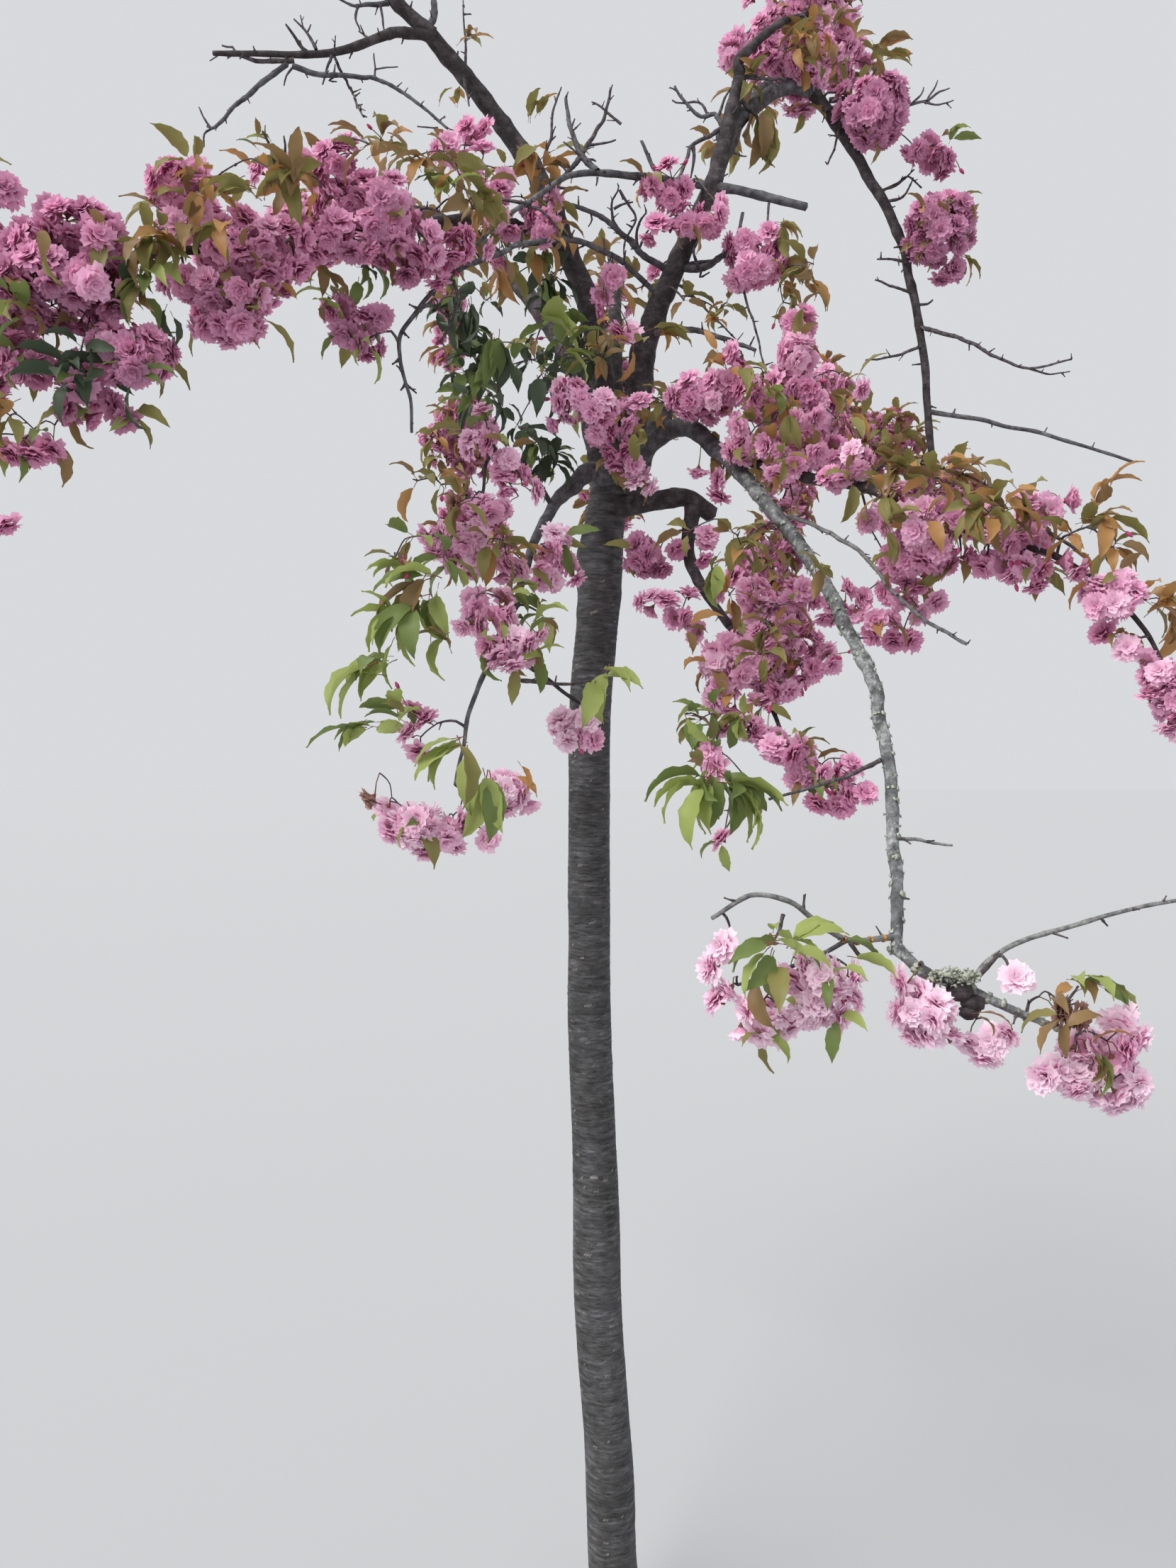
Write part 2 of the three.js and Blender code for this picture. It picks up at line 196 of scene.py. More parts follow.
def petal_material(name, colour, through, rough=0.55):
    """Thin living tissue: some of the light comes through it."""
    mat = bpy.data.materials.new(name)
    mat.use_nodes = True
    nt = mat.node_tree
    nt.nodes.clear()
    out = nt.nodes.new("ShaderNodeOutputMaterial")
    mix = nt.nodes.new("ShaderNodeMixShader")
    face = nt.nodes.new("ShaderNodeBsdfPrincipled")
    back = nt.nodes.new("ShaderNodeBsdfTranslucent")
    face.inputs["Base Color"].default_value = colour
    face.inputs["Roughness"].default_value = rough
    face.inputs["Specular IOR Level"].default_value = 0.25
    back.inputs["Color"].default_value = colour
    mix.inputs[0].default_value = through
    nt.links.new(face.outputs[0], mix.inputs[1])
    nt.links.new(back.outputs[0], mix.inputs[2])
    nt.links.new(mix.outputs[0], out.inputs[0])
    mat.diffuse_color = colour
    return mat


class Nodes:
    """Small helper for a procedural Principled material in object coordinates."""

    def __init__(self, name):
        self.mat = bpy.data.materials.new(name)
        self.mat.use_nodes = True
        self.nt = self.mat.node_tree
        self.nt.nodes.clear()
        self.out = self.new("ShaderNodeOutputMaterial")
        self.bsdf = self.new("ShaderNodeBsdfPrincipled")
        self.link(self.bsdf.outputs[0], self.out.inputs[0])
        self.co = self.new("ShaderNodeTexCoord").outputs["Object"]

    def new(self, kind, **props):
        n = self.nt.nodes.new(kind)
        for k, v in props.items():
            setattr(n, k, v)
        return n

    def link(self, a, b):
        self.nt.links.new(a, b)

    def noise(self, scale, stretch=(1, 1, 1), detail=4.0, rough=0.6):
        m = self.new("ShaderNodeMapping")
        m.inputs["Scale"].default_value = stretch
        self.link(self.co, m.inputs["Vector"])
        n = self.new("ShaderNodeTexNoise")
        n.inputs["Scale"].default_value = scale
        n.inputs["Detail"].default_value = detail
        n.inputs["Roughness"].default_value = rough
        self.link(m.outputs[0], n.inputs["Vector"])
        return n.outputs["Fac"]

    def ramp(self, fac, stops):
        r = self.new("ShaderNodeValToRGB")
        e = r.color_ramp.elements
        while len(e) < len(stops):
            e.new(0.5)
        for i, (p, c) in enumerate(stops):
            e[i].position = p
            e[i].color = c if len(c) == 4 else (*c, 1.0)
        self.link(fac, r.inputs[0])
        return r.outputs[0]

    def mix(self, fac, a, b, mode="MIX"):
        m = self.new("ShaderNodeMix", data_type="RGBA", blend_type=mode)
        for sock, val in ((m.inputs[0], fac), (m.inputs[6], a), (m.inputs[7], b)):
            if hasattr(val, "is_linked") or hasattr(val, "links"):
                self.link(val, sock)
            else:
                sock.default_value = val
        return m.outputs[2]

    def math(self, op, a, b=0.0):
        m = self.new("ShaderNodeMath", operation=op)
        for sock, val in ((m.inputs[0], a), (m.inputs[1], b)):
            if isinstance(val, (int, float)):
                sock.default_value = val
            else:
                self.link(val, sock)
        return m.outputs[0]

    def bump(self, height, strength, distance):
        b = self.new("ShaderNodeBump")
        b.inputs["Strength"].default_value = strength
        b.inputs["Distance"].default_value = distance
        self.link(height, b.inputs["Height"])
        self.link(b.outputs[0], self.bsdf.inputs["Normal"])


def grey(v):
    return (v, v, v, 1.0)


def bark_material(name, dark, mid, light, band=(14, 14, 120), lichen=0.0, rough=0.78, marks=0.0):
    """Cherry bark: fine rings round the stem, short marks across it, blotches, and as much lichen as asked for."""
    m = Nodes(name)
    rings = m.noise(1.0, band, 3.0, 0.65)
    blotch = m.noise(16.0, (1, 1, 0.6), 4.0, 0.6)
    fine = m.noise(420.0, (1, 1, 1.6), 3.0, 0.6)
    colour = m.ramp(rings, [(0.30, dark), (0.50, mid), (0.72, light)])
    shade = m.ramp(blotch, [(0.30, grey(0.68)), (0.55, grey(1.0)), (0.75, grey(1.22))])
    colour = m.mix(1.0, colour, shade, "MULTIPLY")
    speck = m.ramp(fine, [(0.35, grey(0.80)), (0.65, grey(1.12))])
    colour = m.mix(0.7, colour, speck, "MULTIPLY")
    height = m.math("ADD", m.math("MULTIPLY", rings, 1.0), m.math("MULTIPLY", fine, 0.35))
    if marks:
        short = m.noise(1.0, (52, 52, 215), 4.0, 0.66)
        dash = m.ramp(short, [(0.36, grey(0.46)), (0.46, grey(0.92)), (0.55, grey(1.06)), (0.68, grey(1.85))])
        colour = m.mix(marks, colour, dash, "MULTIPLY")
        patch = m.noise(34.0, (1, 1, 0.45), 5.0, 0.6)
        tint = m.ramp(patch, [(0.36, (0.86, 0.84, 0.82)), (0.52, grey(1.0)), (0.66, (1.10, 1.11, 1.14))])
        colour = m.mix(marks, colour, tint, "MULTIPLY")
        height = m.math("ADD", height, m.math("MULTIPLY", short, 0.9))
    if lichen:
        crust = m.noise(70.0, (1, 1, 1), 6.0, 0.72)
        where = m.noise(9.0, (1, 1, 1), 3.0, 0.5)
        both = m.math("ADD", m.math("MULTIPLY", crust, 0.65), m.math("MULTIPLY", where, 0.5))
        edge = 0.62 - 0.16 * lichen
        mask = m.ramp(both, [(edge - 0.03, grey(0)), (edge + 0.09, grey(1))])
        tint = m.ramp(m.noise(140.0, (1, 1, 1), 3.0, 0.6), [(0.3, srgb(112, 115, 114)), (0.55, srgb(146, 149, 148)), (0.75, srgb(176, 179, 180))])
        colour = m.mix(mask, colour, tint)
        height = m.math("ADD", height, m.math("MULTIPLY", mask, 0.8))
    m.link(colour, m.bsdf.inputs["Base Color"])
    m.bsdf.inputs["Roughness"].default_value = rough
    m.bsdf.inputs["Specular IOR Level"].default_value = 0.28
    m.bump(height, 0.55, 0.0012)
    return m.mat


def wood_material(name, a, b):
    """A weathered saw cut."""
    m = Nodes(name)
    grain = m.noise(90.0, (1, 1, 3), 5.0, 0.6)
    m.link(m.ramp(grain, [(0.3, a), (0.7, b)]), m.bsdf.inputs["Base Color"])
    m.bsdf.inputs["Roughness"].default_value = 0.85
    m.bump(grain, 0.5, 0.0008)
    return m.mat


STEM_BARK = bark_material("stem_bark", srgb(58, 57, 58), srgb(73, 72, 73), srgb(92, 91, 93), (16, 16, 120), 0.0, 0.7, 1.0)
STEM_LENTICEL = bark_material("stem_lenticel", srgb(86, 82, 80), srgb(118, 114, 110), srgb(146, 142, 138), (60, 60, 300))
# Bark of the stem's top at the graft: partly darker bark, partly painted shade under the head of the tree.
GRAFT_BARK_AND_SHADE = bark_material("graft_bark_and_shade", srgb(52, 51, 52), srgb(75, 74, 75), srgb(102, 100, 101), (24, 24, 90), 0.0, 0.75, 0.8)
# Dark bough bark, darkened partly as painted shade: the limbs round the head sit in deep shade among the leaves.
BOUGH_BARK_AND_SHADE = bark_material("bough_bark", srgb(42, 38, 40), srgb(64, 58, 60), srgb(94, 87, 89), (60, 60, 60), 0.0, 0.78, 0.5)
PALE_TWIG = bark_material("pale_twig", srgb(86, 86, 86), srgb(122, 122, 121), srgb(156, 156, 154), (120, 120, 120))
GREY_BARK = bark_material("grey_bark", srgb(62, 60, 62), srgb(88, 87, 90), srgb(120, 120, 124), (80, 80, 80), 0.0)
TWIG_BARK = bark_material("twig_bark", srgb(52, 46, 47), srgb(80, 73, 75), srgb(112, 106, 107), (160, 160, 160))
LICHEN_BARK = bark_material("lichened_bark", srgb(60, 60, 61), srgb(92, 93, 95), srgb(128, 130, 132), (60, 60, 34), 0.36)
SAWN = wood_material("sawn_wood", srgb(112, 98, 84), srgb(164, 150, 132))
LICHEN_PALE = wood_material("lichen_crust", srgb(132, 138, 118), srgb(196, 200, 186))
LICHEN_GOLD = wood_material("lichen_gold", srgb(176, 112, 34), srgb(214, 156, 62))

# Petal pinks from deep to pale; which one a flower gets carries painted light and shade as well as its own tint.
PINKS = [
    petal_material("petal_rose", srgb(196, 122, 158), 0.36),
    petal_material("petal_deep", srgb(219, 160, 192), 0.38),
    petal_material("petal_pink", srgb(238, 179, 211), 0.40),
    petal_material("petal_light", srgb(246, 198, 225), 0.40),
    petal_material("petal_pale", srgb(251, 215, 235), 0.40),
    petal_material("petal_blush", srgb(254, 231, 244), 0.38),
    petal_material("petal_withered", srgb(188, 152, 138), 0.25, 0.8),
]
LEAVES = [
    petal_material("leaf_bronze", srgb(140, 115, 78), 0.30, 0.45),
    petal_material("leaf_amber", srgb(176, 134, 84), 0.34, 0.45),
    petal_material("leaf_olive", srgb(136, 130, 78), 0.32, 0.45),
    petal_material("leaf_green", srgb(114, 130, 74), 0.32, 0.45),
    petal_material("leaf_spring", srgb(158, 170, 98), 0.36, 0.45),
    petal_material("leaf_shade", srgb(70, 82, 64), 0.20, 0.5),
]
STALK_GREEN = petal_material("stalk_green", srgb(120, 118, 70), 0.10, 0.5)
STALK_RED = petal_material("stalk_red", srgb(132, 84, 74), 0.10, 0.5)
BUD_ROSE = petal_material("bud_rose", srgb(186, 74, 120), 0.15, 0.5)

# ------------------------------------------------------------------ the limbs, as in the CAD, in millimetres
STEM_HEAD = 2046
FLARE_DIA, DIA_LOW, DIA_MID, DIA_TOP = 108, 82, 73, 65
STEM_DIA = [
    (0, FLARE_DIA), (60, FLARE_DIA - 17), (170, DIA_LOW + 2), (460, DIA_LOW - 2), (700, DIA_LOW), (950, DIA_MID + 2),
    (1400, DIA_MID - 2), (1760, DIA_MID - 3), (1880, DIA_MID + 3), (1975, DIA_TOP + 1), (STEM_HEAD, DIA_TOP),
]
STEM_BOW = [(0, 0), (220, 0.25), (706, 0.72), (1183, 0.97), (1592, 0.96), (1879, 0.62), (STEM_HEAD, 0.27)]

# name: diameter at the butt and the tip, waypoints, looks ("dark", "grey" or "lichen"); the "dark" bark is partly
# painted shade
LIMBS = {
    "left_leader": (46, 26, [(0, 20, 2000), (-43, 30, 2272), (-113, 2, 2468), (-187, -20, 2584), (-307, -80, 2706)], "dark"),
    "right_leader": (52, 21, [(10, 18, 2005), (39, -10, 2224), (85, -30, 2349), (154, -50, 2494), (191, -50, 2650)], "dark"),
    "left_leader_top": (24, 15, [(-300, -76, 2702), (-369, -100, 2755), (-455, -120, 2835), (-570, -140, 2915)], "dark"),
    "lichened_shoulder": (36, 24, [(7, -12, 2023), (60, -60, 2075), (107, -105, 2079), (148, -150, 2036), (179, -195, 1989)], "grey"),
    "lichened_bough": (23, 14, [(177, -193, 1991), (251, -290, 1867), (301, -385, 1737), (325, -475, 1619), (316, -575, 1480), (297, -672, 1350)], "lichen"),
    "lichened_tip": (15, 9, [(297, -666, 1353), (326, -700, 1330), (384, -702, 1307), (435, -700, 1282)], "lichen"),
    "hooked_limb": (38, 26, [(-10, -8, 1972), (55, -44, 1976), (105, -60, 1979), (151, -62, 1950)], "dark"),
    "hooked_limb_fall": (27, 13, [(118, -62, 1960), (109, -84, 1898), (126, -110, 1835), (170, -140, 1763)], "dark"),
    "left_loop": (40, 14, [(-15, -15, 2020), (-49, -60, 2022), (-81, -92, 1988), (-109, -125, 1953), (-137, -200, 1880)], "grey"),
    "left_bough": (21, 16, [(-91, 4, 2403), (-151, -100, 2390), (-201, -200, 2364), (-271, -310, 2310), (-312, -370, 2279)], "dark"),
    "crossing_bough": (10, 8, [(58, -26, 2320), (7, -70, 2346), (-44, -120, 2356), (-96, -170, 2346), (-147, -220, 2319), (-185, -270, 2285), (-225, -330, 2244)], "grey"),
    "upper_crossing": (14, 8, [(146, -48, 2480), (82, -100, 2464), (27, -130, 2458), (-25, -152, 2454), (-69, -170, 2445), (-100, -185, 2423), (-137, -200, 2392)], "grey"),
    "right_bough": (20, 14, [(143, -150, 2035), (204, -205, 2001), (266, -270, 1968), (336, -335, 1940), (370, -372, 1908)], "dark"),
    "right_arch": (27, 24, [(166, -46, 2556), (205, -20, 2610), (255, 0, 2656)], "grey"),
    "right_arch_fall": (21, 12, [(325, 14, 2658), (388, 10, 2565), (461, 0, 2424), (499, 0, 2268), (526, 0, 2040)], "dark"),
    "cut_stub": (16, 13, [(150, -52, 2478), (206, -70, 2459), (297, -72, 2437)], "grey"),
    "arch_side_twig": (9, 5, [(517, 0, 2133), (614, -30, 2108), (719, -60, 2072), (826, -80, 2031)], "grey"),
    "bare_side_branch": (22, 7, [(-296, -76, 2698), (-352, -100, 2694), (-451, -160, 2628), (-604, -220, 2594)], "dark"),
    "low_arching_twig": (9, 6, [(299, -662, 1364), (235, -700, 1368), (197, -712, 1389), (166, -720, 1413), (125, -722, 1419), (82, -720, 1395)], "pale"),
    "low_bare_twig": (9, 5, [(372, -702, 1322), (427, -680, 1359), (564, -640, 1391), (695, -610, 1406)], "pale"),
    "stem_front_twig": (8, 5, [(-185, -370, 1720), (-120, -335, 1678), (-66, -300, 1640)], "dark"),
    "back_left_bough": (40, 24, [(-18, 12, 2010), (-100, 150, 2290), (-300, 390, 2590), (-560, 600, 2740)], "dark"),
    "back_centre_bough": (30, 18, [(-6, 24, 2006), (-4, 130, 2300), (-6, 250, 2460), (-10, 400, 2520)], "dark"),
    "back_right_bough": (40, 24, [(12, 20, 2004), (100, 235, 2205), (250, 480, 2330), (400, 660, 2345)], "dark"),
    "back_top_limb": (26, 16, [(120, -30, 2420), (190, 130, 2620), (270, 330, 2820), (350, 480, 2950)], "dark"),
}
# wood inside the masses, growing on from the limbs above
INNER = {
    "left_bough": (16, 5, [(-312, -370, 2279), (-371, -455, 2235), (-433, -500, 2205), (-495, -530, 2184), (-558, -560, 2173), (-628, -575, 2142), (-704, -585, 2119), (-767, -575, 2090), (-850, -560, 2030)], "dark"),
    "crossing_bough": (8, 4, [(-225, -330, 2244), (-253, -345, 2219), (-275, -360, 2191), (-293, -375, 2157), (-305, -385, 2127), (-306, -392, 2100), (-299, -400, 2064), (-289, -410, 2034), (-287, -415, 1995)], "grey"),
    "right_leader": (21, 8, [(191, -50, 2650), (193, -60, 2676), (227, -60, 2713), (269, -50, 2741), (341, 20, 2800)], "dark"),
    "right_arch": (24, 21, [(255, 0, 2656), (291, 12, 2670), (325, 14, 2658)], "grey"),
    "upper_crossing": (8, 4, [(-137, -200, 2392), (-163, -215, 2368), (-188, -235, 2341), (-206, -265, 2307), (-221, -300, 2275)], "grey"),
    "hooked_limb_fall": (13, 4, [(170, -140, 1763), (205, -180, 1700), (225, -250, 1620), (235, -310, 1560)], "dark"),
    "left_loop": (14, 4, [(-137, -200, 1880), (-153, -280, 1795), (-180, -370, 1720), (-206, -450, 1628), (-224, -486, 1530)], "grey"),
    "right_bough": (14, 5, [(370, -372, 1908), (407, -392, 1880), (481, -430, 1851), (552, -465, 1824), (608, -490, 1776), (653, -508, 1716), (690, -510, 1650)], "dark"),
    "lichened_tip": (9, 4, [(435, -700, 1282), (476, -700, 1268), (522, -698, 1259)], "lichen"),
    "left_leader_top": (15, 6, [(-570, -140, 2915), (-640, -150, 2950), (-722, -155, 2940)], "dark"),
    "back_left_bough": (24, 7, [(-560, 600, 2740), (-680, 680, 2738), (-810, 745, 2690), (-900, 780, 2620)], "dark"),
    "back_centre_bough": (18, 5, [(-10, 400, 2520), (0, 480, 2440), (5, 530, 2300), (-5, 556, 2160), (-8, 562, 2060)], "dark"),
    "back_right_bough": (24, 7, [(400, 660, 2345), (500, 700, 2325), (620, 708, 2250), (730, 700, 2150), (765, 690, 2070)], "dark"),
    "back_top_limb": (16, 5, [(350, 480, 2950), (380, 510, 2995), (440, 570, 3035), (515, 632, 3050)], "dark"),
    "back_left_hang": (15, 5, [(-300, 390, 2590), (-340, 480, 2530), (-340, 545, 2380), (-328, 585, 2200), (-306, 600, 2010)], "dark"),
    "back_right_hang": (15, 5, [(390, 640, 2345), (410, 660, 2270), (388, 636, 2140), (352, 592, 1980), (334, 548, 1800)], "dark"),
    "left_curtain_feed": (9, 4, [(-109, -125, 1953), (-160, -200, 2010), (-196, -280, 1990), (-208, -340, 1880)], "dark"),
    "low_inner_feed": (6, 3.5, [(235, -700, 1368), (196, -718, 1352), (150, -722, 1336), (110, -722, 1322)], "grey"),
}

# ------------------------------------------------------------------ the masses, as in the CAD, in millimetres
MASSES = {
    "crown_right": [(282, 30, 2755, 118, 112, 106), (347, 60, 2842, 72, 70, 66)],
    "arch_poms_upper": [(412, -40, 2603, 66, 64, 66), (505, -40, 2537, 52, 52, 46)],
    "arch_pom_lower": [(524, -25, 2406, 62, 68, 80)],
    "leader_cluster": [(92, -122, 2420, 74, 62, 50)],
    "inner_right_pom": [(214, -100, 2338, 58, 62, 58)],
    "leader_left_poms": [(-232, -190, 2466, 54, 66, 44), (-158, -170, 2402, 62, 66, 50)],
    "left_upper": [(-366, -430, 2277, 98, 130, 92), (-240, -350, 2252, 66, 96, 56)],
    "left_middle": [(-465, -500, 2194, 78, 122, 66), (-545, -530, 2245, 54, 100, 60), (-509, -520, 2117, 78, 118, 56)],
    "left_drop": [(-359, -420, 2130, 50, 66, 52)],
    "left_outer": [(-658, -598, 2139, 88, 148, 78)],
    "left_outer_hang": [(-696, -580, 2003, 98, 118, 68), (-590, -568, 2040, 60, 94, 44)],
    "left_far": [(-798, -560, 2080, 86, 120, 98)],
    "head_front": [(-34, -190, 2078, 80, 74, 58), (11, -150, 2014, 48, 56, 48)],
    "right_upper": [(258, -215, 2112, 116, 116, 90), (123, -165, 2122, 66, 62, 46), (280, -150, 2228, 46, 56, 56)],
    "left_curtain": [(-182, -288, 1999, 58, 90, 86), (-209, -342, 1868, 87, 102, 74), (-107, -262, 1860, 58, 72, 52)],
    "left_curtain_low": [(-172, -400, 1731, 70, 80, 60), (-284, -455, 1716, 94, 88, 58)],
    "left_low": [(-229, -490, 1499, 112, 88, 62), (-264, -478, 1601, 54, 60, 60)],
    "stem_front": [(-70, -300, 1606, 47, 48, 46)],
    "under_head_right": [(70, -112, 1893, 56, 60, 50)],
    "right_curtain": [(162, -196, 1820, 102, 86, 62), (215, -240, 1706, 108, 104, 88)],
    "right_curtain_low": [(240, -330, 1553, 108, 82, 76), (126, -400, 1517, 68, 62, 62)],
    "right_shoulder": [(374, -270, 1802, 88, 88, 72)],
    "right_middle": [(397, -400, 1872, 75, 104, 72), (515, -452, 1843, 87, 106, 68)],
    "right_end": [(609, -492, 1767, 52, 72, 50), (672, -512, 1659, 72, 86, 82)],
    "low_right_inner": [(164, -720, 1323, 90, 68, 64)],
    "low_right_outer": [(353, -716, 1286, 82, 68, 55), (498, -700, 1252, 74, 68, 72)],
    "crown_left": [(-640, -150, 2955, 124, 104, 84)],
    "back_left": [(-845, 762, 2668, 134, 128, 104), (-668, 668, 2705, 120, 118, 92), (-520, 562, 2675, 96, 104, 86)],
    "back_left_hang": [(-345, 520, 2450, 56, 70, 120), (-330, 580, 2235, 92, 104, 112), (-305, 600, 2030, 104, 104, 110)],
    "back_centre": [(-12, 430, 2455, 58, 84, 84), (8, 520, 2290, 88, 92, 100), (-8, 560, 2105, 84, 88, 96)],
    "back_top": [(365, 500, 2990, 112, 120, 98), (500, 625, 3045, 84, 92, 76)],
    "back_right": [(448, 680, 2338, 126, 124, 98), (600, 700, 2248, 116, 116, 98), (745, 692, 2125, 110, 108, 112)],
    "back_right_hang": [(388, 636, 2150, 80, 94, 122), (350, 590, 1970, 90, 98, 110), (332, 545, 1790, 108, 108, 116)],
}
# how pale the flowers are (0 deep to 3 pale), partly their own tint and partly painted light and shade, how many of
# their clusters carry leaves, and which leaves
LOOK = {
    "crown_right": (1.3, 0.5, "bronze"), "arch_poms_upper": (0.9, 0.3, "bronze"), "arch_pom_lower": (0.8, 0.2, "bronze"),
    "leader_cluster": (1.1, 0.3, "bronze"), "inner_right_pom": (1.4, 0.2, "bronze"), "leader_left_poms": (1.2, 0.3, "bronze"),
    "left_upper": (1.4, 0.25, "bronze"), "left_middle": (1.4, 0.3, "bronze"), "left_drop": (0.8, 0.6, "green"),
    "left_outer": (1.2, 0.25, "bronze"), "left_outer_hang": (1.0, 0.35, "green"), "left_far": (1.2, 0.3, "bronze"),
    "head_front": (1.8, 0.2, "green"), "right_upper": (1.7, 0.35, "bronze"), "left_curtain": (1.5, 0.2, "green"),
    "left_curtain_low": (1.7, 0.8, "green"), "left_low": (2.2, 0.12, "green"), "stem_front": (2.2, 0.0, "green"),
    "under_head_right": (1.0, 0.2, "bronze"), "right_curtain": (1.3, 0.25, "bronze"), "right_curtain_low": (1.6, 0.5, "green"),
    "right_shoulder": (1.1, 0.35, "bronze"), "right_middle": (1.4, 0.45, "bronze"), "right_end": (1.6, 0.5, "bronze"),
    "low_right_inner": (2.6, 0.15, "green"), "low_right_outer": (2.7, 0.12, "bronze"), "crown_left": (1.4, 0.4, "bronze"),
}
PALETTE = {
    "bronze": [0, 0, 1, 2, 2, 0], "green": [3, 3, 4, 2, 4, 0], "shade": [5, 5, 3, 5], "amber": [1, 1, 0, 2],
    "olive": [2, 2, 1, 0], "spring": [4, 4, 4, 3], "hanging": [2, 3, 2, 0],
}
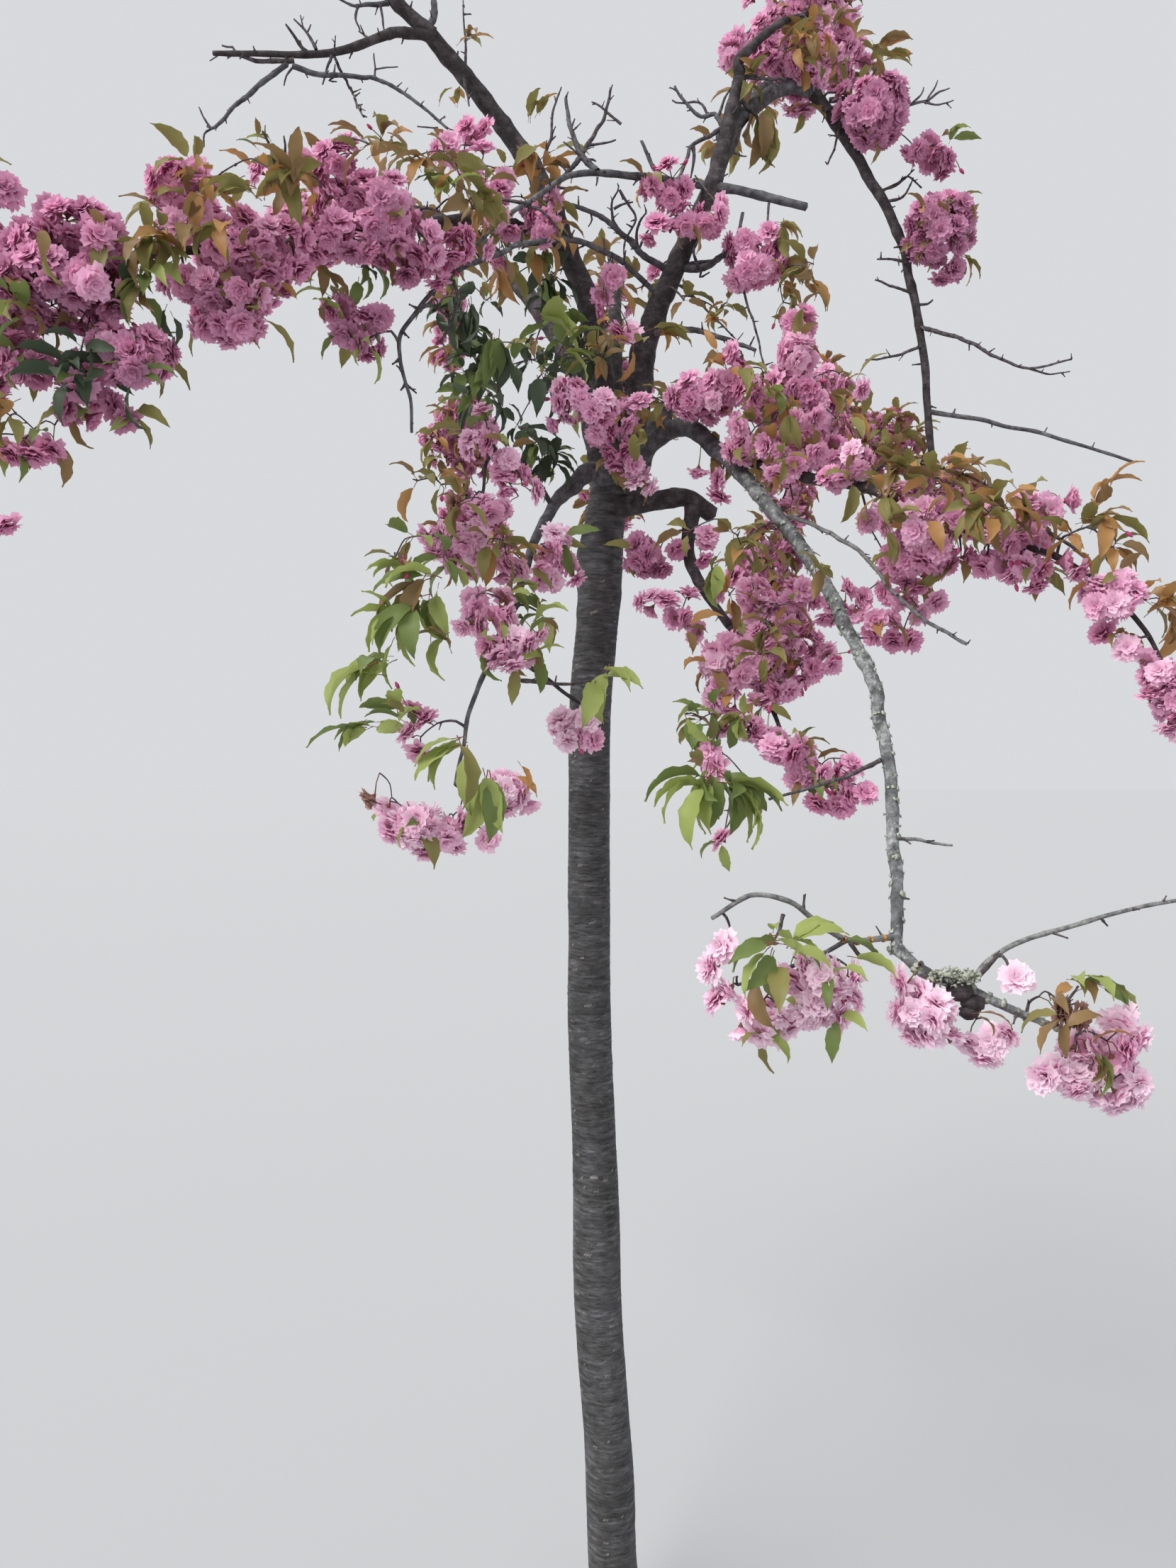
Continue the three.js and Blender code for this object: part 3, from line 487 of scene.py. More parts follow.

# Where the blossom shows: pixel across and down, depth in metres, half width and half height in pixels, paleness (9 is
# withered). The paleness is partly the flowers' own tint and partly painted light and shade: paler where the blossom is
# lit, deeper in shade and on undersides.
POMS = {
    "left_far": [
        (15, 268, -.58, 28, 26, 1.3), (-45, 270, -.56, 42, 40, 1.2), (-28, 340, -.58, 48, 48, 1.2), (38, 348, -.60, 42, 36, .9),
        (-35, 420, -.60, 48, 45, 1.1), (-5, 495, -.58, 40, 38, 1.0), (-85, 400, -.56, 50, 50, 1.2), (-75, 480, -.56, 54, 52, 1.1),
        (-80, 550, -.56, 42, 40, 1.2), (5, 738, -.60, 17, 17, 1.2),
    ],
    "left_outer": [
        (85, 303, -.60, 34, 28, 1.5), (135, 303, -.59, 34, 28, 1.4), (95, 318, -.62, 48, 34, 1.5), (140, 335, -.60, 46, 40, 1.4), (60, 385, -.63, 48, 42, 1.2), (110, 400, -.61, 50, 44, 1.4),
        (160, 405, -.60, 38, 42, 1.2), (25, 400, -.61, 40, 42, 1.0), (150, 370, -.58, 38, 38, 1.3), (80, 350, -.60, 40, 36, 1.1),
        (155, 432, -.60, 34, 20, 1.0), (70, 445, -.59, 50, 24, .3), (120, 455, -.58, 34, 20, .2),
    ],
    "left_outer_hang": [
        (160, 492, -.59, 40, 38, 1.6), (205, 500, -.59, 48, 44, 1.7), (185, 522, -.60, 50, 28, 1.4), (40, 518, -.60, 46, 30, 1.5),
        (75, 525, -.59, 24, 26, 1.4), (20, 485, -.60, 26, 22, 1.3), (105, 585, -.58, 36, 30, 1.0), (155, 580, -.57, 24, 26, 1.2),
        (178, 588, -.57, 18, 28, 1.2), (30, 634, -.60, 48, 26, 1.4), (72, 632, -.59, 22, 22, 1.3), (-30, 575, -.60, 36, 36, 1.1),
        (-30, 632, -.60, 36, 30, 1.3),
    ],
    "left_middle": [
        (240, 262, -.53, 36, 42, 1.3), (275, 250, -.54, 34, 32, 1.3), (225, 278, -.53, 22, 28, 1.2), (240, 322, -.53, 27, 30, 1.3),
        (310, 328, -.54, 32, 22, 1.7), (345, 308, -.53, 18, 22, 1.4), (300, 352, -.52, 32, 24, 1.2), (375, 335, -.53, 38, 30, 1.7),
        (410, 335, -.51, 34, 32, 1.6), (378, 370, -.54, 34, 30, 1.2), (345, 365, -.51, 26, 26, 1.3), (420, 368, -.50, 24, 28, 1.4),
        (255, 405, -.54, 38, 30, 1.5), (300, 415, -.55, 38, 34, 1.3), (350, 420, -.55, 34, 34, 1.5), (330, 455, -.54, 42, 36, 1.4),
        (290, 452, -.53, 30, 36, 1.3), (365, 450, -.53, 20, 30, 1.4), (285, 300, -.50, 30, 26, .9),
    ],
    "left_upper": [
        (365, 242, -.47, 18, 20, 1.6), (420, 228, -.46, 24, 20, 1.1), (470, 225, -.46, 34, 30, .4), (490, 205, -.45, 20, 20, .5),
        (448, 240, -.46, 20, 20, .8), (462, 282, -.46, 26, 28, 1.8), (415, 300, -.46, 28, 20, 1.2), (470, 325, -.48, 32, 30, 1.2),
        (450, 345, -.47, 28, 28, 1.1), (520, 270, -.44, 28, 28, 1.4), (560, 280, -.43, 30, 36, 1.5), (520, 318, -.46, 32, 28, 1.3),
        (560, 330, -.44, 32, 34, 1.4), (500, 350, -.45, 34, 24, .9), (600, 345, -.42, 34, 36, 1.5), (648, 345, -.38, 28, 30, 1.5),
        (575, 378, -.41, 34, 28, .8), (615, 388, -.40, 30, 22, .7), (685, 352, -.34, 18, 16, 1.0), (545, 362, -.42, 28, 20, .6),
    ],
    "left_drop": [
        (475, 432, -.43, 28, 24, .9), (515, 452, -.44, 26, 22, .6), (536, 448, -.43, 19, 18, .7), (490, 470, -.42, 28, 22, .4),
        (518, 490, -.43, 28, 22, .3),
    ],
    "leader_left_poms": [
        (632, 212, -.20, 26, 24, 1.3), (662, 190, -.19, 22, 22, 1.4), (688, 182, -.18, 16, 20, 1.5), (680, 215, -.20, 22, 20, 1.6),
        (668, 238, -.19, 22, 18, 1.2), (698, 278, -.19, 26, 24, 1.5), (700, 305, -.18, 24, 22, 1.0), (720, 320, -.17, 22, 18, 1.1),
        (712, 255, -.17, 18, 14, 1.8), (780, 285, -.17, 18, 20, 1.6), (775, 318, -.17, 22, 26, 1.0), (765, 335, -.18, 24, 14, 1.3),
        (715, 373, -.17, 18, 20, 1.2), (748, 300, -.15, 18, 26, .5),
    ],
    "leader_cluster": [
        (945, 236, -.14, 22, 16, 1.2), (915, 264, -.14, 20, 22, .5), (965, 266, -.12, 16, 16, 1.0), (945, 270, -.11, 16, 16, 1.3),
        (932, 325, -.14, 32, 20, .7), (965, 318, -.13, 26, 20, 1.0), (1000, 308, -.12, 28, 28, 1.2), (1015, 288, -.11, 16, 14, 1.1),
        (1010, 330, -.12, 20, 14, .8), (860, 393, -.10, 22, 18, 1.3), (848, 418, -.10, 16, 18, 1.2), (855, 440, -.10, 18, 14, .9),
        (883, 468, -.12, 22, 16, 1.4), (925, 388, .02, 18, 12, 1.8),
    ],
    "inner_right_pom": [
        (1050, 345, -.11, 30, 26, 1.3), (1085, 340, -.10, 26, 26, 1.1), (1090, 372, -.10, 26, 30, 1.3), (1055, 385, -.11, 34, 32, 1.6),
        (1040, 365, -.09, 20, 26, 1.2),
    ],
    "crown_right": [
        (1028, 78, 0, 20, 30, 1.0), (1042, 55, .01, 15, 15, 1.2), (1072, 38, 0, 22, 20, 1.5), (1090, 20, .01, 18, 16, 1.5),
        (1078, 78, -.01, 30, 30, .5), (1098, 95, 0, 20, 16, .7), (1138, 15, .03, 26, 30, 1.2), (1165, 25, .05, 18, 20, 1.3),
        (1155, 55, .03, 26, 20, 1.4), (1190, 62, .05, 24, 28, 1.4), (1170, 80, .04, 26, 18, 1.1), (1120, 118, .02, 32, 26, 1.5),
        (1130, 150, .03, 32, 18, 1.0), (1145, 130, .02, 18, 22, 1.0), (1110, 60, .05, 20, 20, .9), (1120, 85, .05, 20, 18, 1.2),
        (1130, -30, .06, 34, 34, 1.3), (1175, -20, .07, 30, 30, 1.3), (1090, -25, .05, 32, 30, 1.2), (1150, -55, .07, 24, 22, 1.4),
        (1200, 10, .09, 22, 24, 1.2), (1062, 0, .03, 18, 20, 1.2),
    ],
    "arch_poms_upper": [
        (1240, 135, -.05, 38, 30, 1.3), (1255, 150, -.03, 32, 40, 1.2), (1225, 165, -.05, 40, 30, 1.0), (1200, 160, -.03, 28, 24, 1.1),
        (1235, 190, -.04, 34, 24, .7), (1190, 128, -.01, 16, 12, 1.2), (1292, 215, -.04, 22, 18, .8), (1312, 208, -.05, 20, 22, 1.3),
        (1325, 232, -.04, 26, 22, .8), (1340, 225, -.03, 16, 18, .9),
    ],
    "arch_pom_lower": [
        (1310, 310, -.05, 34, 34, .9), (1345, 305, -.04, 36, 34, 1.1), (1325, 340, -.05, 40, 36, .8), (1300, 345, -.03, 26, 30, 1.0),
        (1355, 335, -.03, 22, 26, .9), (1335, 386, -.03, 28, 20, 1.2), (1325, 290, -.02, 38, 20, 1.0),
    ],
    "head_front": [
        (805, 565, -.20, 32, 36, 2.0), (790, 590, -.20, 22, 20, 2.1), (845, 575, -.21, 34, 34, 1.8), (878, 590, -.19, 22, 24, 1.7),
        (905, 572, -.18, 18, 20, 2.0), (845, 608, -.20, 28, 22, 1.2), (870, 630, -.18, 26, 26, 1.3), (890, 658, -.17, 24, 18, 2.0),
        (905, 685, -.16, 28, 18, 3.2), (870, 655, -.17, 16, 16, 1.4),
    ],
    "right_upper": [
        (1128, 455, -.16, 30, 22, 1.5), (1125, 490, -.16, 28, 34, 1.6), (1110, 515, -.17, 26, 22, 1.4), (1040, 500, -.18, 24, 20, 1.3),
        (1055, 525, -.19, 22, 18, 1.5), (975, 560, -.18, 40, 34, 1.4), (1010, 555, -.19, 36, 36, 1.5), (965, 540, -.17, 26, 20, 1.4),
        (1000, 585, -.18, 30, 20, 1.0), (1105, 545, -.20, 28, 26, 1.5), (1145, 550, -.20, 22, 26, 1.6), (1180, 542, -.19, 18, 14, 1.2),
        (1215, 550, -.20, 20, 13, 1.4), (1050, 600, -.22, 30, 28, 1.9), (1050, 635, -.22, 32, 26, 1.6), (1095, 635, -.23, 32, 30, 1.9),
        (1110, 662, -.23, 34, 22, 1.7), (1140, 640, -.22, 30, 28, 1.5), (1175, 640, -.22, 30, 30, 1.3), (1210, 650, -.23, 26, 36, 1.9),
        (1185, 675, -.22, 34, 18, 1.2), (1185, 600, -.20, 24, 16, 1.4), (1018, 685, -.14, 20, 26, 1.2), (1115, 735, -.20, 13, 16, 1.8),
        (985, 662, -.14, 13, 12, 1.2), (1070, 575, -.18, 30, 22, 1.3), (1130, 595, -.19, 34, 26, 1.3),
    ],
    "under_head_right": [
        (905, 785, -.12, 28, 32, .4), (925, 800, -.12, 22, 20, .3), (955, 775, -.11, 16, 16, 1.0),
        (998, 760, -.12, 15, 22, 2.0), (992, 788, -.12, 16, 13, 1.8),
    ],
    "right_curtain": [
        (925, 850, -.17, 34, 22, 1.6), (965, 840, -.17, 20, 16, 1.7), (955, 872, -.18, 22, 18, 1.8), (985, 892, -.18, 22, 14, 1.3),
        (1018, 832, -.19, 20, 18, 1.9), (1060, 828, -.20, 26, 20, 1.9), (1080, 855, -.21, 28, 16, 2.0), (1060, 862, -.20, 18, 16, 1.7),
        (1130, 840, -.22, 30, 28, 1.3), (1115, 865, -.21, 26, 14, 1.2), (1170, 860, -.22, 24, 26, 1.4), (1020, 915, -.23, 34, 26, 1.7),
        (1005, 945, -.24, 22, 26, 1.8), (1045, 920, -.24, 26, 26, 1.5), (1125, 880, -.23, 30, 16, 1.0), (1110, 905, -.23, 22, 16, 1.5),
        (1075, 945, -.24, 30, 26, 1.4), (1170, 935, -.24, 20, 30, 2.1), (1140, 950, -.24, 30, 22, 1.6), (1010, 985, -.25, 22, 30, 2.0),
        (1035, 1000, -.25, 18, 16, 1.8), (1105, 975, -.26, 26, 22, 1.9), (1075, 990, -.26, 26, 16, 1.9), (1040, 955, -.25, 24, 24, 1.2),
        (1105, 930, -.22, 24, 24, 1.1), (1045, 785, -.18, 20, 18, 1.0),
    ],
    "right_curtain_low": [
        (1055, 1028, -.32, 26, 24, 1.9), (1020, 1030, -.33, 15, 13, 1.6), (1085, 1040, -.33, 28, 22, 1.7), (1100, 1060, -.33, 26, 22, 1.5),
        (1125, 1055, -.34, 22, 22, 1.9), (1140, 1085, -.35, 26, 28, 1.9), (1125, 1100, -.35, 22, 18, 1.8), (1160, 1130, -.36, 24, 24, 1.3),
        (1190, 1130, -.36, 24, 26, 1.1), (1220, 1120, -.37, 24, 20, 1.4), (1180, 1150, -.36, 22, 13, 1.5), (1200, 1078, -.37, 26, 14, 2.2),
        (1180, 1090, -.36, 20, 14, 1.6), (1000, 1060, -.40, 15, 16, 1.8), (1010, 1082, -.40, 13, 14, 1.6), (1057, 1130, -.40, 15, 12, 1.3),
        (1020, 1185, -.42, 22, 17, 1.6), (1150, 1105, -.35, 20, 20, 1.7),
    ],
    "right_shoulder": [
        (1190, 840, -.27, 18, 28, 1.7), (1205, 865, -.28, 20, 16, 1.5), (1245, 878, -.29, 32, 20, 1.6), (1262, 880, -.29, 20, 20, 1.5),
        (1275, 905, -.28, 34, 18, .9), (1240, 895, -.28, 24, 15, .8), (1278, 845, -.30, 22, 20, 1.9), (1322, 850, -.30, 18, 18, 1.6),
        (1255, 800, -.30, 22, 24, 1.0), (1225, 735, -.28, 20, 16, 1.3), (1215, 850, -.27, 16, 20, 1.2), (1300, 870, -.29, 22, 20, 1.1),
    ],
    "right_middle": [
        (1258, 705, -.40, 24, 28, 1.8), (1265, 735, -.41, 30, 28, 1.5), (1305, 722, -.42, 34, 24, 1.7), (1345, 735, -.42, 28, 22, 1.3),
        (1290, 762, -.41, 34, 24, 1.2), (1280, 795, -.38, 30, 22, .9), (1320, 795, -.39, 30, 22, .6), (1355, 790, -.40, 26, 22, .5),
        (1450, 718, -.46, 24, 26, 1.9), (1478, 722, -.46, 22, 28, 1.9), (1505, 706, -.45, 18, 13, 1.5), (1455, 755, -.46, 30, 22, 1.5),
        (1425, 800, -.46, 30, 26, .6), (1455, 800, -.48, 28, 24, 1.6), (1485, 798, -.48, 30, 26, 1.5), (1515, 802, -.46, 24, 20, 1.1),
        (1465, 825, -.47, 34, 14, .7), (1395, 800, -.44, 24, 22, .4), (1400, 740, -.42, 30, 30, .8), (1420, 770, -.44, 26, 26, .7),
    ],
    "right_end": [
        (1545, 832, -.50, 30, 26, 2.0), (1575, 825, -.51, 28, 28, 2.0), (1562, 855, -.50, 36, 24, 1.8), (1598, 838, -.50, 18, 24, 1.9),
        (1557, 895, -.48, 24, 14, .6), (1590, 915, -.52, 24, 16, 2.0), (1615, 930, -.53, 24, 20, 2.1), (1640, 955, -.53, 34, 30, 2.1),
        (1625, 985, -.52, 24, 18, 1.7), (1660, 985, -.53, 34, 34, 1.9), (1650, 1025, -.52, 20, 22, 1.8), (1690, 960, -.52, 36, 36, 1.8),
        (1700, 1005, -.52, 30, 34, 1.7), (1675, 1035, -.52, 26, 22, 1.7),
    ],
    "left_curtain": [
        (680, 580, -.29, 18, 18, 1.6), (665, 625, -.30, 22, 22, 1.5), (695, 622, -.30, 20, 20, 1.6), (715, 650, -.29, 22, 22, 1.1),
        (712, 680, -.29, 22, 22, .9), (755, 692, -.27, 16, 13, 1.7), (735, 672, -.27, 16, 22, 1.0), (685, 720, -.33, 26, 24, 1.7),
        (715, 715, -.31, 16, 18, 1.3), (602, 755, -.35, 18, 16, 1.8), (635, 755, -.35, 26, 20, 1.6), (660, 765, -.36, 30, 22, 1.7),
        (675, 790, -.35, 28, 18, 1.4), (610, 785, -.34, 22, 16, 1.2), (645, 795, -.34, 26, 18, 1.2), (705, 800, -.33, 24, 24, 1.3),
        (735, 800, -.32, 18, 22, 1.6), (785, 760, -.27, 24, 22, 2.0), (762, 780, -.27, 22, 16, 1.5), (795, 795, -.26, 22, 16, 1.2),
        (775, 820, -.27, 26, 16, 1.5), (810, 815, -.26, 14, 16, 1.3), (672, 750, -.33, 20, 16, 1.5), (645, 712, -.33, 14, 12, 9),
    ],
    "left_curtain_low": [
        (670, 850, -.38, 18, 24, .9), (665, 880, -.39, 26, 22, 1.6), (710, 850, -.38, 18, 24, 2.2), (715, 875, -.38, 18, 16, 1.9),
        (700, 915, -.41, 28, 26, 1.7), (735, 905, -.41, 26, 22, 2.0), (760, 895, -.40, 20, 20, 1.9), (720, 935, -.42, 26, 16, 1.6),
        (745, 925, -.40, 22, 18, 1.6), (690, 930, -.40, 18, 16, 1.6),
    ],
    "left_low": [
        (575, 1005, -.48, 22, 20, 1.2), (602, 1015, -.48, 16, 18, 1.3), (578, 1035, -.48, 18, 13, 1.5), (590, 1058, -.48, 22, 18, 2.0),
        (525, 1125, -.49, 22, 22, 9), (545, 1140, -.50, 24, 20, 2.1), (556, 1168, -.51, 26, 26, 2.6), (590, 1165, -.53, 34, 34, 2.6), (630, 1180, -.52, 26, 26, 2.5), (715, 1122, -.51, 36, 34, 2.6), (575, 1155, -.51, 26, 24, 2.5), (600, 1150, -.51, 24, 24, 2.6),
        (585, 1180, -.51, 32, 22, 2.3), (615, 1175, -.51, 28, 24, 2.4), (640, 1165, -.50, 24, 26, 2.1), (640, 1190, -.50, 22, 14, 2.0),
        (600, 1200, -.50, 22, 13, 2.0), (690, 1185, -.48, 22, 18, 2.2), (715, 1110, -.49, 32, 26, 2.6), (735, 1130, -.49, 30, 20, 2.3),
        (710, 1140, -.48, 26, 16, 1.9), (665, 1155, -.48, 16, 14, 1.6),
    ],
    "stem_front": [
        (790, 1025, -.31, 22, 26, 2.4), (825, 1020, -.31, 26, 22, 2.5), (830, 1045, -.31, 26, 20, 2.1), (800, 1045, -.31, 20, 18, 2.2),
    ],
    "low_right_inner": [
        (1020, 1335, -.73, 22, 20, 2.8), (1005, 1365, -.72, 13, 13, 2.4), (1035, 1390, -.73, 24, 24, 2.7), (1015, 1420, -.72, 22, 24, 2.0),
        (1045, 1450, -.73, 24, 18, 2.8), (1080, 1455, -.73, 30, 20, 2.9), (1110, 1445, -.72, 22, 18, 2.6), (1130, 1370, -.74, 22, 24, 3.0),
        (1165, 1385, -.75, 30, 28, 3.1), (1200, 1375, -.74, 20, 30, 2.9), (1062, 1425, -.74, 24, 20, 2.8), (1098, 1432, -.74, 22, 18, 2.8), (1145, 1425, -.74, 32, 28, 2.7), (1175, 1435, -.74, 26, 26, 2.9),
        (1200, 1415, -.72, 18, 24, 2.6), (1115, 1380, -.72, 16, 18, 2.2), (1075, 1425, -.71, 24, 20, 1.8),
    ],
    "low_right_outer": [
        (1275, 1385, -.72, 20, 20, 2.8), (1300, 1400, -.72, 20, 18, 2.4), (1280, 1430, -.73, 26, 26, 2.7), (1320, 1430, -.74, 30, 30, 2.8),
        (1295, 1460, -.73, 26, 20, 2.9), (1335, 1465, -.73, 24, 20, 2.7), (1365, 1470, -.71, 22, 20, 2.2), (1400, 1470, -.72, 26, 22, 2.6),
        (1430, 1455, -.73, 24, 20, 2.9), (1390, 1490, -.72, 26, 13, 2.7), (1435, 1382, -.74, 18, 18, 3.4), (1580, 1440, -.72, 22, 30, 2.9),
        (1600, 1465, -.72, 20, 30, 2.9), (1525, 1480, -.73, 32, 24, 3.1), (1480, 1515, -.74, 30, 26, 3.1), (1520, 1525, -.74, 36, 28, 3.0),
        (1560, 1540, -.74, 30, 22, 3.1), (1600, 1530, -.73, 22, 32, 3.2), (1580, 1555, -.73, 28, 18, 3.0), (1495, 1425, -.70, 13, 16, 9),
        (1520, 1435, -.70, 14, 14, 9),
    ],
}


def seen(p):
    """Pixel across and down at which the camera sees the point p, in metres."""
    d = np.asarray(p) - EYE
    depth = d @ AHEAD
    return PHOTO_W / 2 + FOCAL * d[..., 0] / depth, PHOTO_H / 2 - FOCAL * (d @ UP) / depth


def table_value(rows, t):
    xs = [r[0] for r in rows]
    t = np.asarray(t, float)
    i = np.clip(np.searchsorted(xs, t) - 1, 0, len(xs) - 2)
    x0, x1 = np.take(xs, i), np.take(xs, i + 1)
    ys = [r[1] for r in rows]
    k = np.clip((t - x0) / (x1 - x0), 0, 1)
    k = k * k * (3 - 2 * k)
    return np.take(ys, i) + (np.take(ys, i + 1) - np.take(ys, i)) * k


# ------------------------------------------------------------------ the stem
def make_stem():
    rows, sides = 640, 56
    z = np.linspace(0, 1, rows) ** 0.97 * STEM_HEAD
    ang = 2 * math.pi * np.arange(sides) / sides
    Z, A = np.meshgrid(z, ang, indexing="ij")
    flare = np.clip(1 - Z / 170, 0, 1)
    rib = 1 + 0.07 * flare**2 * np.cos(5 * A + 0.6)
    lump = 1 + 0.015 * np.sin(2 * A + Z * 0.004)
    R = 0.5 * table_value(STEM_DIA, Z) * rib * lump
    X0 = -53 * table_value(STEM_BOW, Z)
    ca, sa = np.cos(A), np.sin(A)
    P = np.stack([R * ca, R * sa, Z], -1).reshape(-1, 3)
    slow = vnoise(P / (48, 48, 95), 1).reshape(R.shape)
    knobs = vnoise(P / (17, 17, 24), 2).reshape(R.shape)
    bands = vnoise(P / (15, 15, 4.6), 3).reshape(R.shape)
    thin = vnoise(P / (9, 9, 2.4), 4).reshape(R.shape)
    graft = np.exp(-(((Z - 1900) / 95) ** 2))
    foot = np.clip(1 - Z / 330, 0, 1)
    cracks = -np.abs(vnoise(P / (7, 7, 60), 5).reshape(R.shape))
    R = R + 0.9 * slow + 0.45 * knobs + 0.26 * bands + 0.14 * thin + graft * (2.0 * knobs + 1.3 * cracks) + foot * (1.8 * cracks + 1.0 * knobs)
    # lenticels: short raised lips lying across the bark
    gen = np.random.default_rng(71)
    raised = np.zeros_like(R)
    for _ in range(430):
        z0 = gen.uniform(60, STEM_HEAD - 60)
        a0 = gen.uniform(0, 2 * math.pi)
        half = gen.uniform(2.5, 9.5) * (1.5 if gen.random() < 0.14 else 1.0)
        tall = gen.uniform(1.1, 1.9)
        i0, i1 = np.searchsorted(z, [z0 - 8, z0 + 8])
        da = (A[i0:i1] - a0 + math.pi) % (2 * math.pi) - math.pi
        along = da * 36.0 / half
        across = (Z[i0:i1] - z0 - 0.8 * np.sin(along + a0)) / tall
        lip = np.exp(-(along**4)) * (np.exp(-(across**2)) - 0.35 * np.exp(-((across * 3.2) ** 2)))
        raised[i0:i1] = np.maximum(raised[i0:i1], lip)
    R = R + 0.75 * raised
    top = Z[-1] * 0
    V = np.stack([X0 + R * ca, R * sa, Z], -1)
    V[-1, :, 2] += 7 * np.sin(ang + 2.4)
    V[-2, :, 2] += 5 * np.sin(ang + 2.4)
    V[-3, :, 2] += 2 * np.sin(ang + 2.4)
    verts = V.reshape(-1, 3)
    centre0 = [verts[:sides].mean(0)]
    # the saw cut on top: three rings, so that it is a real face with a soft edge
    last = V[-1]
    mid = last.mean(0)
    extra = []
    for k, s in enumerate((0.93, 0.6, 0.3)):
        ring = mid + (last - mid) * s
        ring[:, 2] += (1.2 if k == 0 else 0.6) + 0.8 * vnoise(ring / 9, 8)
        extra.append(ring)
    verts = np.vstack([verts, *extra])
    faces = ring_faces(rows + 3, sides)
    verts = np.vstack([verts, centre0, [mid + (0, 0, 0.8)]])
    mats = np.zeros(len(faces), int)
    tops = faces[:, 0].clip(max=rows * sides - 1)
    flat = raised.reshape(-1)
    lenticel = (flat[faces.clip(max=rows * sides - 1)].mean(1) > 0.42) & (faces.max(1) < rows * sides)
    mats[lenticel] = 1
    # Faces above about 1.84 m take the graft bark, darker partly as bark and partly as painted shade under the head.
    height = verts[faces[:, 0], 2] + 26 * vnoise(verts[faces[:, 0]] / (14, 14, 40), 11)
    dark = (height > 1838) & (faces.max(1) < rows * sides)
    mats[dark] = np.where(mats[dark] == 1, 0, 3)
    mats[(faces.max(1) >= rows * sides) & (faces.min(1) >= (rows - 1) * sides)] = 2
    bag = Bag()
    bag.add(verts / 1000, faces, mats)
    ob = bag.object("stem_with_bark", [STEM_BARK, STEM_LENTICEL, SAWN, GRAFT_BARK_AND_SHADE], "stem_bark")
    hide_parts("stem")
    return bag.tris


# ------------------------------------------------------------------ the boughs
SKELETON = []  # (points, radii, name) of every limb, in metres


def limb_path(points, per, seed, ends=True):
    path, t = spline(np.array(points) / 1000.0, per)
    length = np.linalg.norm(np.diff(path, axis=0), axis=1).sum()
    hold = np.clip(np.minimum(t, 1 - t) * length / 0.05, 0, 1)[:, None] if ends else np.clip(t * length / 0.05, 0, 1)[:, None]
    wob = np.stack([vnoise(np.stack([t * length * 22, t * 0 + k * 7.3, t * 0 + seed], -1), k) for k in range(3)], -1)
    return path + wob * 0.0028 * hold, t, length


def make_boughs():
    bags = {"dark": Bag(), "grey": Bag(), "lichen": Bag(), "pale": Bag()}
    seed = 0
    for group, table in (("cad", LIMBS), ("inner", INNER)):
        for name, (d0, d1, pts, look) in table.items():
            seed += 1
            per = 0.0056 if d0 > 20 else 0.007
            path, t, length = limb_path(pts, per, seed)
            rad = 0.5 * (d0 + (d1 - d0) * t**0.85) / 1000
            s = t * length
            if group == "cad":
                rad = rad * (1 + 0.14 * np.exp(-s / (1.1 * rad[0])))
            gen = np.random.default_rng(900 + seed)
            at_s = gen.uniform(0.02, 0.05)
            knots = np.ones(len(s))
            while at_s < length:
                knots = knots * (1 + gen.uniform(0.05, 0.17) * np.exp(-(((s - at_s) / (0.005 + 0.22 * rad[0])) ** 2)))
                at_s += gen.uniform(0.03, 0.08)
            rad = rad * knots / knots.mean() * (0.84 if look == "pale" else 1.0)
            rough = 0.05 if d0 < 20 else 0.045

            def shape(p, rough=rough, seed=seed):
                return 1 + rough * vnoise(p * 55, seed) + 0.035 * vnoise(p * 150, seed + 1) + 0.02 * vnoise(p * (420), seed + 2)

            sides = 18 if d0 > 24 else (12 if d0 > 14 else 8)
            if look == "lichen":
                sides = 22

                def shape(p, seed=seed):
                    crust = np.clip(vnoise(p * 95, seed + 3) + 0.15, 0, 1)
                    return 0.95 + 0.05 * vnoise(p * 60, seed) + 0.15 * crust + 0.05 * vnoise(p * 330, seed + 4)

            v, f = tube(path, rad, sides, shape)
            mats = np.zeros(len(f), int)
            if name == "cut_stub" and group == "cad":
                mats[f.max(1) == len(v) - 1] = 1
            bags[look].add(v, f, mats)
            SKELETON.append((path[:: 3], rad[:: 3], name, look))
    done = []
    for look, mat, slot in (("dark", BOUGH_BARK_AND_SHADE, "bough_bark"), ("grey", GREY_BARK, "bough_bark"), ("lichen", LICHEN_BARK, "lichened_bark"), ("pale", PALE_TWIG, "bough_bark")):
        ob = bags[look].object(f"boughs_{look}", [mat, SAWN], slot)
        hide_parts(*[n for n, row in LIMBS.items() if row[3] == look])
        done.append(bags[look].tris)
    return done



